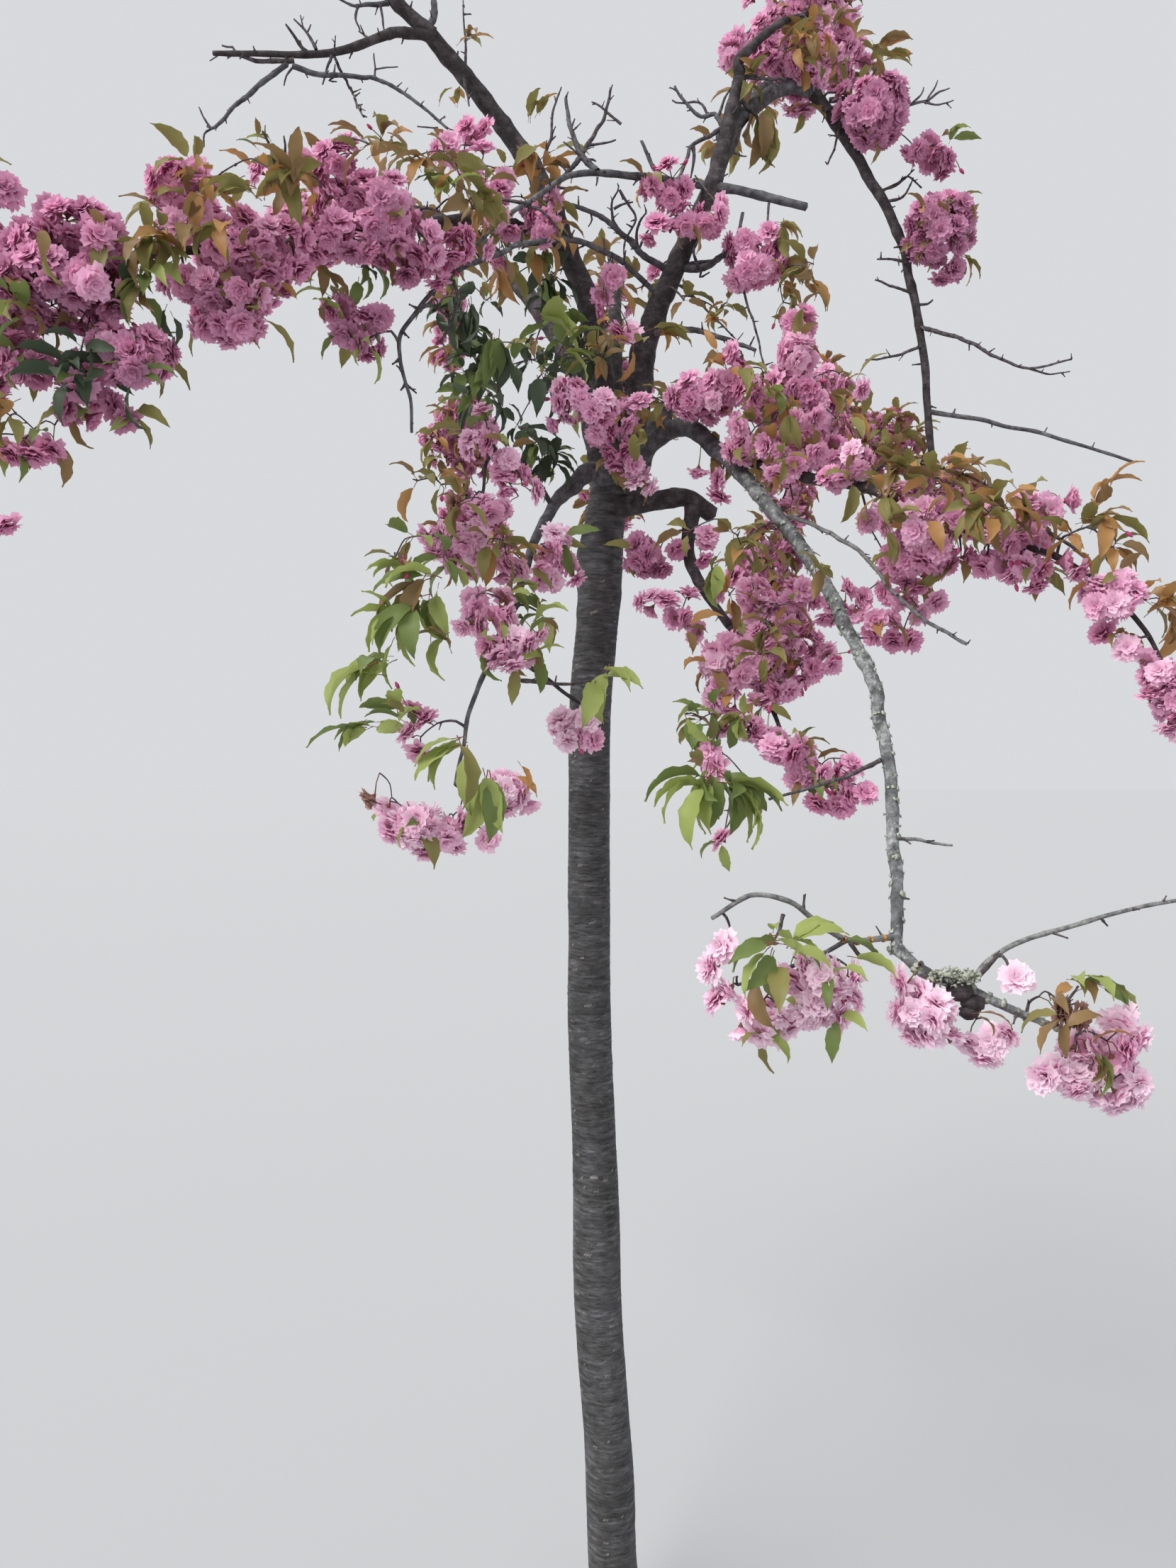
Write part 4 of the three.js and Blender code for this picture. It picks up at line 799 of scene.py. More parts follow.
# ------------------------------------------------------------------ flowers
def petal(gen, length, half, lean0, lean1, cup, base_r, lift, turn, full):
    """A notched petal that leaves the flower's axis (+Z) at lean0 and ends at lean1, both from the axis."""
    d0 = np.array([math.sin(lean0), 0.0, math.cos(lean0)])
    d1 = np.array([math.sin(lean1), 0.0, math.cos(lean1)])
    n0 = np.array([-math.cos(lean0), 0.0, math.sin(lean0)])
    n1 = np.array([-math.cos(lean1), 0.0, math.sin(lean1)])
    y = np.array([0.0, 1.0, 0.0])
    base = np.array([base_r, 0.0, lift])
    mid = base + d0 * length * 0.56
    tip = mid + d1 * length * 0.44
    crimp = gen.normal(0, 0.055 * length, 3)
    v = [
        base,
        mid - y * half + n0 * cup * half,
        mid + y * half + n0 * cup * half,
        tip - y * half * gen.uniform(0.60, 0.86) + n1 * (0.25 * half + crimp[0]) - d1 * 0.04 * length,
        tip + y * half * gen.uniform(0.60, 0.86) + n1 * (0.25 * half + crimp[1]),
        tip - d1 * length * gen.uniform(0.04, 0.12) + n1 * crimp[2] * 0.6,
    ]
    if full:
        v.append(mid - n0 * 0.10 * half)
        f = [(0, 6, 1), (0, 2, 6), (1, 5, 3), (1, 6, 5), (6, 2, 5), (2, 4, 5)]
        shade = [0, 0, 1, 1, 1, 1]
    else:
        f = [(0, 2, 1), (1, 5, 3), (1, 2, 5), (2, 4, 5)]
        shade = [0, 1, 1, 1]
    v = np.array(v)
    c, s = math.cos(turn), math.sin(turn)
    return v @ np.array([[c, s, 0], [-s, c, 0], [0, 0, 1]]), np.array(f), np.array(shade)


def flower_kind(seed, opened=1.0):
    """A double flower about 44 mm across, opening towards +Z. Faces carry a tone slot: 0 base, 1 tip, 2 inner base, 3
    inner tip; the bases later get the deeper pink, partly the petals' own colour and partly painted shade deep in the
    flower.
    """
    gen = np.random.default_rng(seed)
    rings = [  # count, length, half width, lean at the base, lean at the tip, cup, full
        (11, 20.5, 6.2, 76, 106, 0.30, True),
        (11, 19.5, 5.8, 55, 84, 0.36, True),
        (10, 17.0, 5.0, 33, 58, 0.40, False),
        (8, 13.5, 4.2, 14, 32, 0.45, False),
    ]
    V, F, S = [], [], []
    n = 0
    for k, (count, length, half, l0, l1, cup, full) in enumerate(rings):
        start = gen.uniform(0, 2 * math.pi)
        for i in range(count):
            turn = start + 2 * math.pi * (i + gen.uniform(-0.25, 0.25)) / count
            grow = gen.uniform(0.84, 1.13)
            a = math.radians(max(4, l0 * opened + gen.normal(0, 8)))
            b = math.radians(max(2, l1 * opened + gen.normal(0, 14)))
            v, f, s = petal(gen, length * grow, half * gen.uniform(0.85, 1.15), a, b, cup + gen.uniform(-0.2, 0.2), 1.5 - 0.3 * k, 0.9 * k, turn, full)
            V.append(v)
            F.append(f + n)
            S.append(s + (2 if k >= 2 else 0))
            n += len(v)
    return np.vstack(V), np.vstack(F), np.concatenate(S)


def sphere_kind(rings, sides, rx, rz, squeeze=0.0):
    th = np.linspace(0, math.pi, rings + 2)[1:-1]
    ang = 2 * math.pi * np.arange(sides) / sides
    v = np.stack([np.sin(th)[:, None] * np.cos(ang) * rx, np.sin(th)[:, None] * np.sin(ang) * rx, -np.cos(th)[:, None] * np.ones(sides) * rz], -1)
    v[..., :2] *= (1 - squeeze * (v[..., 2:3] / rz + 1) / 2)
    v = np.vstack([v.reshape(-1, 3), [[0, 0, -rz], [0, 0, rz]]])
    return v, ring_faces(rings, sides)


def turn_to(axis, spin):
    """Rotation matrices that take +Z to axis (n, 3), after a turn by spin (n) about +Z."""
    axis = unit(axis)
    ref = np.where(np.abs(axis[:, 2:3]) < 0.9, [[0.0, 0, 1]], [[1.0, 0, 0]])
    x = unit(np.cross(ref, axis))
    y = np.cross(axis, x)
    c, s = np.cos(spin)[:, None], np.sin(spin)[:, None]
    return np.stack([x * c + y * s, -x * s + y * c, axis], -1)  # columns


def ellipsoid_depth(p, lobe, grow=0.0):
    """Below 1 inside the lobe, above 1 outside it."""
    c, r = np.array(lobe[:3]), np.array(lobe[3:]) + grow
    return np.linalg.norm((p - c) / r, axis=-1)


FLOWER_R = 21.0
SINK = 13.0          # flower centres lie this far inside the outline of a pom, mm
FLOWER_GAP = 21.5    # between the centres of two flowers, mm
GAPS = {  # closer where the poms are small and full
    "left_low": 17.0, "stem_front": 17.5, "low_right_inner": 16.5, "low_right_outer": 16.5, "left_curtain": 17.0, "left_curtain_low": 16.5,
    "right_curtain_low": 18.0, "right_curtain": 19.5, "right_end": 17.5, "right_middle": 20.0, "under_head_right": 18.5, "leader_left_poms": 19.0, "left_drop": 19.0,
}


# Paleness shifts by mass, painted light and shade: paler for the lit masses low at the front, deeper for masses in
# shade or seen from beneath.
TONE_AND_LIGHT_SHIFT = {
    "left_outer": -0.9, "left_outer_hang": -0.7, "left_far": -0.7, "left_upper": 0.05, "left_middle": 0.05, "left_drop": -0.3,
    "arch_pom_lower": -1.3, "arch_poms_upper": -1.3, "crown_right": 0.6, "right_upper": 0.25, "head_front": 0.1, "right_middle": 0.35, "right_shoulder": 0.2, "right_curtain": 0.4, "under_head_right": -0.3,
    "low_right_inner": 1.2, "low_right_outer": 1.6, "left_low": 1.0, "right_curtain_low": 0.5, "left_curtain": 1.1, "left_curtain_low": 1.0, "stem_front": 1.6, "right_end": 0.4,
}
FRONTS = []  # every measured pom: pixel, half sizes, depth, half depth in metres


def leaf_depth(u, v, y):
    """The depth y, or less where a pom would hide a leaf that the photo shows."""
    for pu, pv, a, b, py, ry in FRONTS:
        q = ((u - pu) / a) ** 2 + ((v - pv) / b) ** 2
        if q < 1.15:
            y = min(y, py - ry * math.sqrt(max(0.0, 1 - q)) - 0.012)
    return y


# sprays of leaves that show in the photo: mass, pixel, half sizes in pixels, depth (None: in front of the blossom), depth range, how many, colours
FOLIAGE = [
    ("right_upper", 1010, 525, 52, 26, None, 0.0, 2, "amber"), ("right_upper", 1085, 565, 40, 34, None, 0.0, 2, "olive"),
    ("right_upper", 1130, 610, 50, 40, -0.28, 0.08, 4, "olive"),
    ("right_upper", 1040, 640, 60, 26, -0.16, 0.08, 4, "olive"), ("right_upper", 1120, 390, 34, 50, -0.12, 0.05, 4, "bronze"),
    ("right_curtain", 1035, 850, 46, 44, None, 0.0, 2, "olive"), ("right_curtain", 960, 892, 30, 18, None, 0.0, 1, "olive"),
    ("right_curtain", 1078, 800, 24, 30, None, 0.0, 2, "green"), ("right_curtain", 1020, 760, 60, 26, -0.30, 0.06, 4, "olive"),
    ("right_curtain", 1100, 900, 30, 60, -0.30, 0.06, 3, "olive"),
    ("right_shoulder", 1225, 695, 26, 38, None, 0.0, 2, "olive"), ("right_shoulder", 1275, 728, 56, 20, None, 0.0, 2, "olive"),
    ("right_middle", 1260, 655, 70, 22, -0.36, 0.08, 4, "bronze"), ("right_middle", 1350, 660, 50, 26, -0.42, 0.06, 3, "olive"),
    ("right_middle", 1400, 715, 46, 30, -0.52, 0.04, 3, "olive"), ("right_end", 1540, 755, 44, 34, -0.48, 0.06, 4, "amber"),
    ("right_end", 1630, 850, 34, 50, -0.48, 0.06, 4, "amber"),
    ("left_outer", 60, 428, 60, 18, None, 0.0, 2, "green"), ("left_outer", 100, 508, 22, 28, -0.62, 0.04, 2, "shade"),
    ("left_outer", 215, 345, 30, 40, -0.62, 0.04, 3, "bronze"), ("left_outer", 190, 430, 20, 24, -0.60, 0.04, 1, "shade"),
    ("left_outer_hang", 140, 528, 60, 20, -0.60, 0.05, 3, "shade"), ("left_outer_hang", 20, 565, 24, 26, -0.66, 0.03, 1, "olive"),
    ("left_upper", 265, 295, 20, 36, None, 0.0, 2, "bronze"), ("left_upper", 330, 255, 46, 22, None, 0.0, 2, "olive"),
    ("left_upper", 425, 238, 60, 18, -0.54, 0.06, 4, "olive"), ("left_upper", 520, 205, 30, 16, -0.46, 0.05, 1, "bronze"),
    ("left_upper", 215, 380, 20, 40, -0.60, 0.04, 2, "green"),
    ("left_middle", 640, 275, 60, 34, -0.34, 0.10, 6, "olive"), ("left_middle", 600, 235, 46, 24, -0.36, 0.06, 3, "bronze"),
    ("left_middle", 560, 190, 50, 24, -0.36, 0.06, 2, "olive"),
    ("leader_left_poms", 745, 235, 44, 44, -0.10, 0.08, 5, "amber"), ("leader_left_poms", 700, 320, 40, 30, -0.20, 0.08, 3, "bronze"),
    ("leader_left_poms", 760, 330, 46, 40, -0.10, 0.08, 4, "bronze"),
    ("head_front", 675, 455, 62, 60, -0.10, 0.22, 11, "shade"), ("head_front", 700, 560, 60, 60, -0.08, 0.22, 10, "shade"),
    ("head_front", 770, 480, 50, 46, -0.06, 0.14, 6, "shade"), ("head_front", 740, 400, 50, 40, 0.0, 0.14, 4, "shade"),
    ("head_front", 845, 490, 50, 34, -0.18, 0.06, 4, "olive"), ("head_front", 770, 640, 40, 40, -0.10, 0.12, 4, "shade"),
    ("head_front", 920, 560, 40, 40, -0.10, 0.10, 3, "olive"), ("head_front", 990, 440, 40, 30, -0.06, 0.08, 3, "olive"),
    ("left_curtain", 600, 800, 46, 60, -0.46, 0.08, 4, "green"), ("left_curtain", 700, 770, 50, 34, -0.34, 0.08, 3, "olive"),
    ("left_curtain", 620, 690, 40, 40, -0.38, 0.08, 3, "olive"), ("left_curtain", 740, 860, 40, 30, -0.30, 0.08, 2, "green"),
    ("under_head_right", 890, 650, 30, 30, -0.16, 0.08, 2, "olive"), ("under_head_right", 935, 742, 22, 12, None, 0.0, 2, "bronze"),
    ("head_front", 800, 510, 30, 62, -0.04, 0.10, 6, "shade"),
    ("crown_right", 1130, 45, 50, 30, -0.03, 0.06, 4, "olive"), ("crown_right", 1080, 110, 36, 20, -0.05, 0.04, 2, "bronze"),
    ("right_curtain_low", 1000, 1000, 60, 40, -0.36, 0.06, 3, "green"),
]


def pom_list():
    """Every pom as (mass, centre, semi-axes, tone, measured), in millimetres: the measured ones, and more where nothing shows."""
    out = []
    sprays = []
    spots = []
    cover = [(path, rad) for path, rad, n, look in SKELETON if n in ("left_bough", "right_bough", "left_loop", "left_curtain_feed")]
    cover = np.column_stack([np.vstack([c[0] for c in cover]), np.concatenate([c[1] for c in cover])])
    cu, cv = seen(cover[:, :3])
    for name, rows in POMS.items():
        for u, v, y, a, b, tone in rows:
            hides = ((cu - u) / (a + 4)) ** 2 + ((cv - v) / (b + 4)) ** 2 < 1
            if hides.any():
                y = max(min(y, (cover[hides, 1] - cover[hides, 3]).min() - 0.012), y - 0.10)
            c = at(u, v, y) * 1000
            k = (y - EYE[1]) * 1000 / FOCAL
            if tone != 9:
                tone = tone + TONE_AND_LIGHT_SHIFT.get(name, 0.0)
            if name in ("low_right_inner", "low_right_outer"):
                a, b = a * 1.16, b * 1.16
            if name == "crown_right":
                a, b = a * 0.84, b * 0.84
            r = np.array([a * k, max(16.0, 0.55 * (a + b) * k), b * k])
            out.append((name, c, r, tone, True))
            spots.append((u, v, a, b))
            FRONTS.append((u, v, a, b, y, r[1] / 1000))
    spots = np.array(spots)
    centres = np.array([p[1] for p in out])
    gen = np.random.default_rng(321)
    for number, (name, lobes) in enumerate(MASSES.items()):
        hidden = name.startswith("back") or name == "crown_left"
        tone = LOOK.get(name, (1.4, 0.35, "bronze"))[0]
        for lobe in lobes:
            r = np.array(lobe[3:], float)
            tries = int((900 if hidden else 500) * np.prod(r / 90) ** (2 / 3))
            for _ in range(tries):
                size = gen.uniform(34, 50) if hidden else gen.uniform(26, 40)
                d = unit(gen.normal(size=3))
                inner = np.maximum(r - size * 0.9, r * 0.15)
                c = np.array(lobe[:3]) + d * inner * (gen.uniform(0.86, 1.0) if gen.random() < 0.8 else gen.uniform(0.2, 0.8))
                if any(ellipsoid_depth(c, l, -size * 0.9) < 0.75 for l in lobes if l is not lobe and min(l[3:]) > 60):
                    continue
                if np.min(np.linalg.norm(centres - c, axis=1)) < size * (1.25 if hidden else 1.15):
                    continue
                # only where the blossom in front of it hides it from the camera
                ring = np.arange(8) * math.pi / 4
                u, v = seen(c / 1000)
                k = FOCAL / (c[1] - EYE[1] * 1000)
                us, vs = u + np.cos(ring) * size * k, v + np.sin(ring) * size * k
                inside = (((us[:, None] - spots[:, 0]) / (spots[:, 2] + 4)) ** 2 + ((vs[:, None] - spots[:, 1]) / (spots[:, 3] + 4)) ** 2 < 1).any(1)
                beyond = (us < -25) | (us > PHOTO_W + 25) | (vs < -25)
                free = int((inside | beyond).sum())
                if hidden and free < 6:
                    sprays.append((name, c + np.array([0, -size * 0.5, 0]), unit(c - np.array(lobe[:3]) + np.array([0, -60.0, 0]))))
                    out.append((name, c, np.array([size, size, size * 0.9]) * gen.uniform(0.9, 1.1, 3), tone + gen.normal(0, 0.3), "far"))
                    centres = np.vstack([centres, c])
                    continue
                if not hidden and (free < 8 or c[1] / 1000 < spots_depth(name) - 0.01):
                    continue
                out.append((name, c, np.array([size, size, size * 0.9]) * gen.uniform(0.9, 1.1, 3), tone + gen.normal(0, 0.3), False))
                centres = np.vstack([centres, c])
    return out, sprays


def spots_depth(name):
    rows = POMS.get(name)
    return min(r[2] for r in rows) if rows else -9.0


def make_crown():
    kinds = [flower_kind(400 + i, (1.0, 1.0, 0.92, 1.0, 0.8, 1.0, 0.95, 0.62)[i % 8]) for i in range(16)]
    flowers = []        # centre, axis, size, tone, mass
    clusters = []       # spur point, mass, outward
    stalks = []         # from, to
    wood = []           # twig paths: points, r0, r1
    skel_p = np.vstack([s[0] for s in SKELETON]) * 1000
    skel_r = np.concatenate([s[1] for s in SKELETON]) * 1000
    poms, sprays = pom_list()
    all_c = np.array([p[1] for p in poms])
    all_r = np.array([p[2] for p in poms])
    placed = np.empty((0, 3))
    middles = {n: np.average([l[:3] for l in ls], axis=0, weights=[np.prod(l[3:]) for l in ls]) for n, ls in MASSES.items()}
    spurs = {}
    for number, (name, c, r, tone, measured) in enumerate(poms):
        g = np.random.default_rng(5000 + number)
        gap = GAPS.get(name, FLOWER_GAP) if measured is True else FLOWER_GAP + 4.5
        inner = np.maximum(r - SINK, 1.0)
        near = [k for k in range(len(poms)) if k != number and np.all(np.abs(all_c[k] - c) < all_r[k] + r + 25)]
        away = unit(c - middles[name] + np.array([0, 0, -20.0])) if measured is not True else unit(c - middles[name] + np.array([0, -45.0, -20.0]))
        small = np.sort(r)[1] < 20
        count = 1 if small else int(20 + 0.060 * (r[0] * r[2] + r[0] * r[1] + r[1] * r[2]) / 3 * 0.5)
        start = g.uniform(0, 2 * math.pi)
        spur = c + np.array([0, 0, min(10.0, 0.35 * r[2])]) - away * min(8.0, 0.3 * r.min())
        got = 0
        for i in g.permutation(count):
            if small:
                d = unit(away + g.normal(0, 0.3, 3))
                p = c + d * 2.0
                spur = c - d * 22.0 + np.array([0, 0, 12.0])
            else:
                z = 1 - 2 * (i + 0.5) / count
                a = start + i * 2.39996
                d = unit(np.array([math.sqrt(1 - z * z) * math.cos(a), math.sqrt(1 - z * z) * math.sin(a), z]) + g.normal(0, 0.14, 3))
                p = c + d * inner * g.uniform(0.88, 1.06)
                if measured == "far" and d[1] < 0.12:
                    continue
                if any(ellipsoid_depth(p, (*all_c[k], *all_r[k]), -SINK - 4) < 0.72 for k in near):
                    continue
            if len(placed) and np.min(np.linalg.norm(placed - p, axis=1)) < (gap if not small else 14.5):
                continue
            placed = np.vstack([placed, p])
            n = unit(d / np.maximum(inner, 5.0) * inner.mean())
            axis = unit(0.95 * n + 0.45 * away + np.array([0, 0, -0.12]) + g.normal(0, 0.14, 3))
            size = g.uniform(0.86, 1.10) * (0.9 if small and r.max() < 16 else 1.0)
            t = 9 if tone == 9 else float(np.clip(tone + g.normal(0, 0.42), 0, 4.4))
            flowers.append((p - axis * 5.0 * size, axis, size, t, name))
            stalks.append((spur, p - axis * 8.0 * size))
            got += 1
        if got:
            spurs.setdefault(name, []).append(spur)
            clusters.append((spur, name, away, measured is True))
    for name, c, away in sprays:
        spurs.setdefault(name, []).append(c)
        clusters.append((c, name, unit(away + np.array([0, 0, -0.4])), LOOK.get(name, (1.4, 0.35, "bronze"))[2]))
    g = np.random.default_rng(4242)
    for path, rad, name, look in SKELETON:
        if name not in ("back_left_bough", "back_centre_bough", "back_right_bough", "back_top_limb"):
            continue
        steps = np.concatenate([[0], np.cumsum(np.linalg.norm(np.diff(path, axis=0), axis=1))])
        pos = 0.22
        while pos < steps[-1]:
            k = int(np.searchsorted(steps, pos))
            d = unit(np.array([g.normal(0, 0.8), g.uniform(-0.1, 1.0), g.normal(0, 0.6)]))
            c = path[k] * 1000 + d * (rad[k] * 1000 + g.uniform(14, 34))
            spurs.setdefault(name, []).append(c)
            clusters.append((c, name, d, "bronze"))
            pos += g.uniform(0.045, 0.10)
    for name, u, v, a, b, y, deep, many, pal in FOLIAGE:
        for _ in range(many):
            spread, turn = math.sqrt(g.uniform(0, 1)), g.uniform(0, 2 * math.pi)
            uu, vv = u + a * spread * math.cos(turn), v + b * spread * math.sin(turn)
            yy = leaf_depth(uu, vv, 9.0) if y is None else y + g.uniform(-0.5, 0.5) * deep
            if yy > 8:
                yy = leaf_depth(u, v, 9.0)
            if yy > 8:
                continue
            c = at(uu, vv, yy) * 1000
            spurs.setdefault(name, []).append(c + np.array([0, 18.0 if y is None else 0.0, 0]))
            clusters.append((c, name, unit(np.array([g.normal(0, 0.7), -0.7, -0.25])), pal))
    # the branching rule: each cluster is fed from the nearest wood, rather from above than from below
    for number, (name, mine) in enumerate(spurs.items()):
        g = np.random.default_rng(8000 + number)
        todo = np.array(mine)
        near = np.min(np.linalg.norm(skel_p[:, None] - todo[None], axis=2), axis=1) < 260
        if near.any():
            nodes = np.column_stack([skel_p[near], skel_r[near]])
        else:
            nodes = np.array([(*skel_p[np.argmin(np.linalg.norm(skel_p - todo[0], axis=1))], 6.0)])
        best = np.full(len(todo), np.inf)
        parent = np.zeros(len(todo), int)

        def consider(new, first):
            d = todo[:, None] - new[None, :, :3]
            cost = np.linalg.norm(d, axis=2) + 0.6 * np.maximum(d[..., 2], 0)
            k = np.argmin(cost, axis=1)
            c = cost[np.arange(len(todo)), k]
            better = c < best
            best[better] = c[better]
            parent[better] = k[better] + first

        consider(nodes, 0)
        while len(todo):
            i = int(np.argmin(best))
            p, k = todo[i], parent[i]
            todo, best, parent = np.delete(todo, i, 0), np.delete(best, i), np.delete(parent, i)
            q = nodes[k, :3]
            span = np.linalg.norm(p - q)
            if span < 4:
                continue
            r0 = min(nodes[k, 3] * 0.8, 1.8 + 0.012 * span)
            r1 = max(1.1, r0 * 0.55)
            side = unit(g.normal(0, 1, 3)) * span * 0.12
            arch = np.array([0, 0, 0.18 * span])
            pts = np.array([q, q + (p - q) * 0.33 + side + arch, q + (p - q) * 0.7 + side * 0.5 + arch * 0.7, p])
            wood.append((pts, r0, r1))
            sp, _t = spline(pts, 16.0)
            add = np.column_stack([sp[2:], np.linspace(r0, r1, len(sp) - 2)]) if len(sp) > 3 else np.array([[*p, 1.6]])
            first = len(nodes)
            nodes = np.vstack([nodes, add])
            if len(todo):
                consider(add, first)
    print("poms", len(poms), "flowers", len(flowers), "twigs to them", len(wood))
    return kinds, flowers, clusters, stalks, wood


def place(kind_v, centres, axes, spins, sizes):
    """Vertices of one mesh placed many times: (n * k, 3)."""
    m = turn_to(np.asarray(axes), np.asarray(spins))
    v = np.einsum("nij,kj->nki", m, kind_v) * np.asarray(sizes)[:, None, None] + np.asarray(centres)[:, None]
    return v.reshape(-1, 3)


def repeat_faces(f, n, verts):
    return (f[None] + (np.arange(n) * verts)[:, None, None]).reshape(-1, 3)


# The petal bases take the deeper pink and the tips the paler one: partly the flowers' own paler edges, partly painted
# shade deep in each flower.
SHADES = {  # tone: shader of the base, the tip, the inner base and the inner tip of the petals
    0: (0, 1, 0, 1), 1: (0, 2, 0, 2), 2: (1, 3, 0, 3), 3: (1, 4, 1, 4), 4: (3, 5, 2, 5), 9: (6, 6, 6, 6),
}


def make_flowers(kinds, flowers):
    """Joined pieces of blossom, by region, each under the triangle limit."""
    regions = {"left": [], "right": [], "low": [], "back_left": [], "back_right": []}
    where = {}
    for name in MASSES:
        if name.startswith("back"):
            reg = "back_right" if ("right" in name or "top" in name) else "back_left"
        elif name in ("low_right_inner", "low_right_outer", "left_low", "left_curtain_low", "stem_front", "right_curtain_low", "left_curtain", "head_front"):
            reg = "low"
        elif name.startswith("left") or name in ("leader_left_poms", "crown_left"):
            reg = "left"
        else:
            reg = "right"
        where[name] = reg
    for fl in flowers:
        regions[where[fl[4]]].append(fl)
    gen = np.random.default_rng(77)
    total = 0
    for reg, rows in regions.items():
        bag = Bag()
        for k, (kv, kf, ks) in enumerate(kinds):
            sub = rows[k :: len(kinds)]
            if not sub:
                continue
            c = np.array([r[0] for r in sub])
            a = np.array([r[1] for r in sub])
            s = np.array([r[2] for r in sub])
            v = place(kv, c, a, gen.uniform(0, 6.28, len(sub)), s)
            mats = []
            for r in sub:
                tone = 9 if r[3] == 9 else int(np.clip(round(r[3]), 0, 4))
                if gen.random() < 0.001:
                    tone = 9
                mats.append(np.array(SHADES[tone])[ks])
            bag.add(v / 1000, repeat_faces(kf, len(sub), len(kv)), np.concatenate(mats))
        ob = bag.object(f"blossom_{reg}", PINKS, "blossom")
        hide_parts(*[n for n in MASSES if where[n] == reg])
        total += bag.tris
        print("blossom", reg, len(rows), "flowers", bag.tris, "triangles")
    return total


def make_stalks(flowers, stalks, clusters):
    """Flower stalks, the green cups behind the flowers, and buds."""
    gen = np.random.default_rng(88)
    bag = Bag()
    p0 = np.array([s[0] for s in stalks])
    p1 = np.array([s[1] for s in stalks])
    n = len(p0)
    ctrl = (p0 + p1) / 2 + np.array([0, 0, 4.0]) + gen.normal(0, 2.5, (n, 3))
    d = unit(p1 - p0)
    ref = np.where(np.abs(d[:, 2:3]) < 0.9, [[0.0, 0, 1]], [[1.0, 0, 0]])
    x = unit(np.cross(ref, d))
    y = np.cross(d, x)
    rings = []
    for k, t in enumerate((0.0, 0.5, 1.0)):
        c = (1 - t) ** 2 * p0 + 2 * t * (1 - t) * ctrl + t * t * p1
        for a in (0.0, 2.094, 4.189):
            rings.append(c + (x * math.cos(a) + y * math.sin(a)) * (0.85, 0.8, 1.1)[k])
    v = np.stack(rings, 1).reshape(-1, 3)
    f = ring_faces(3, 3, False, False)
    bag.add(v / 1000, repeat_faces(f, n, 9), np.repeat((gen.random(n) < 0.4).astype(int), len(f)))
    # cups
    c = np.array([fl[0] for fl in flowers])
    a = np.array([fl[1] for fl in flowers])
    s = np.array([fl[2] for fl in flowers])
    ang = 2 * math.pi * np.arange(5) / 5
    cup = np.vstack([np.stack([np.cos(ang) * r, np.sin(ang) * r, np.full(5, z)], -1) for r, z in ((1.1, -4.5), (2.6, -1.5), (4.2, 0.8))])
    bag.add(place(cup, c, a, gen.uniform(0, 6, len(c)), s) / 1000, repeat_faces(ring_faces(3, 5, False, False), len(c), 15), 1)
    # buds on stalks that hang from some of the clusters
    bud, bf = sphere_kind(3, 6, 3.6, 6.2, 0.35)
    for spur, name, out, own in clusters:
        if gen.random() > 0.09:
            continue
        for _ in range(int(gen.integers(1, 3))):
            d = unit(out * 0.8 + gen.normal(0, 0.5, 3) + np.array([0, 0, -0.5]))
            tip = spur + d * gen.uniform(30, 42)
            mid = (spur + tip) / 2 + gen.normal(0, 3, 3)
            path, _t = spline(np.array([spur, mid, tip]) / 1000, 0.012)
            v, f = tube(path, np.linspace(0.8, 0.9, len(path)) / 1000, 3, None, False, False)
            bag.add(v, f, 0)
            bag.add(place(bud, [tip + d * 5], [d], [0.0], [gen.uniform(0.8, 1.2)]) / 1000, bf, 2)
    bag.object("flower_stalks", [STALK_GREEN, STALK_RED, BUD_ROSE], "blossom_and_leaf")
    return bag.tris


# ------------------------------------------------------------------ leaves
def leaf_kind(seed):
    """A toothed leaf 1 unit long with a drawn-out tip, on a short stalk, growing along +X, its top towards +Z."""
    gen = np.random.default_rng(seed)
    t = np.array([0.0, 0.06, 0.14, 0.23, 0.33, 0.43, 0.53, 0.63, 0.73, 0.82, 0.90, 1.0])
    w = np.array([0.006, 0.095, 0.165, 0.205, 0.232, 0.236, 0.222, 0.190, 0.142, 0.088, 0.040, 0.002]) * gen.uniform(0.70, 0.95)
    tooth = np.where(np.arange(len(t)) % 2 == 1, 1.07, 0.96)
    fold = math.radians(gen.uniform(12, 34))
    droop = gen.uniform(0.5, 1.5)
    sweep = gen.uniform(-0.35, 0.35)
    ang = droop * t**1.4
    x = np.concatenate([[0], np.cumsum(np.diff(t) * np.cos((ang[1:] + ang[:-1]) / 2))])
    z = -np.concatenate([[0], np.cumsum(np.diff(t) * np.sin((ang[1:] + ang[:-1]) / 2))])
    y = sweep * t**2 * 0.4
    wave = 0.018 * np.sin(t * 19 + seed)
    rows = []
    for s in (-1, 0, 1):
        e = w * tooth * abs(s)
        nx, nz = np.sin(ang), np.cos(ang)
        up = e * math.sin(fold) + (wave * abs(s) * (1 if s > 0 else -1))
        rows.append(np.stack([x + nx * up + (0.02 if s else 0), y + s * e * math.cos(fold), z + nz * up], -1))
    v = np.stack(rows, 1).reshape(-1, 3)
    f = []
    for r in range(len(t) - 1):
        for q in (0, 1):
            a = 3 * r + q
            if q == 0:
                f += [(a, a + 3, a + 4), (a, a + 4, a + 1)]
            else:
                f += [(a, a + 3, a + 1), (a + 1, a + 3, a + 4)]
    v[:, 0] += 0.17
    stalk, sf = tube(np.array([[0, 0, 0], [0.09, 0, 0.008], [0.18, 0, 0.0]]), [0.012, 0.010, 0.010], 3, None, False, False)
    faces = np.vstack([np.array(f), sf + len(v)])
    kinds = np.array([0] * len(f) + [1] * len(sf))
    return np.vstack([v, stalk]), faces, kinds


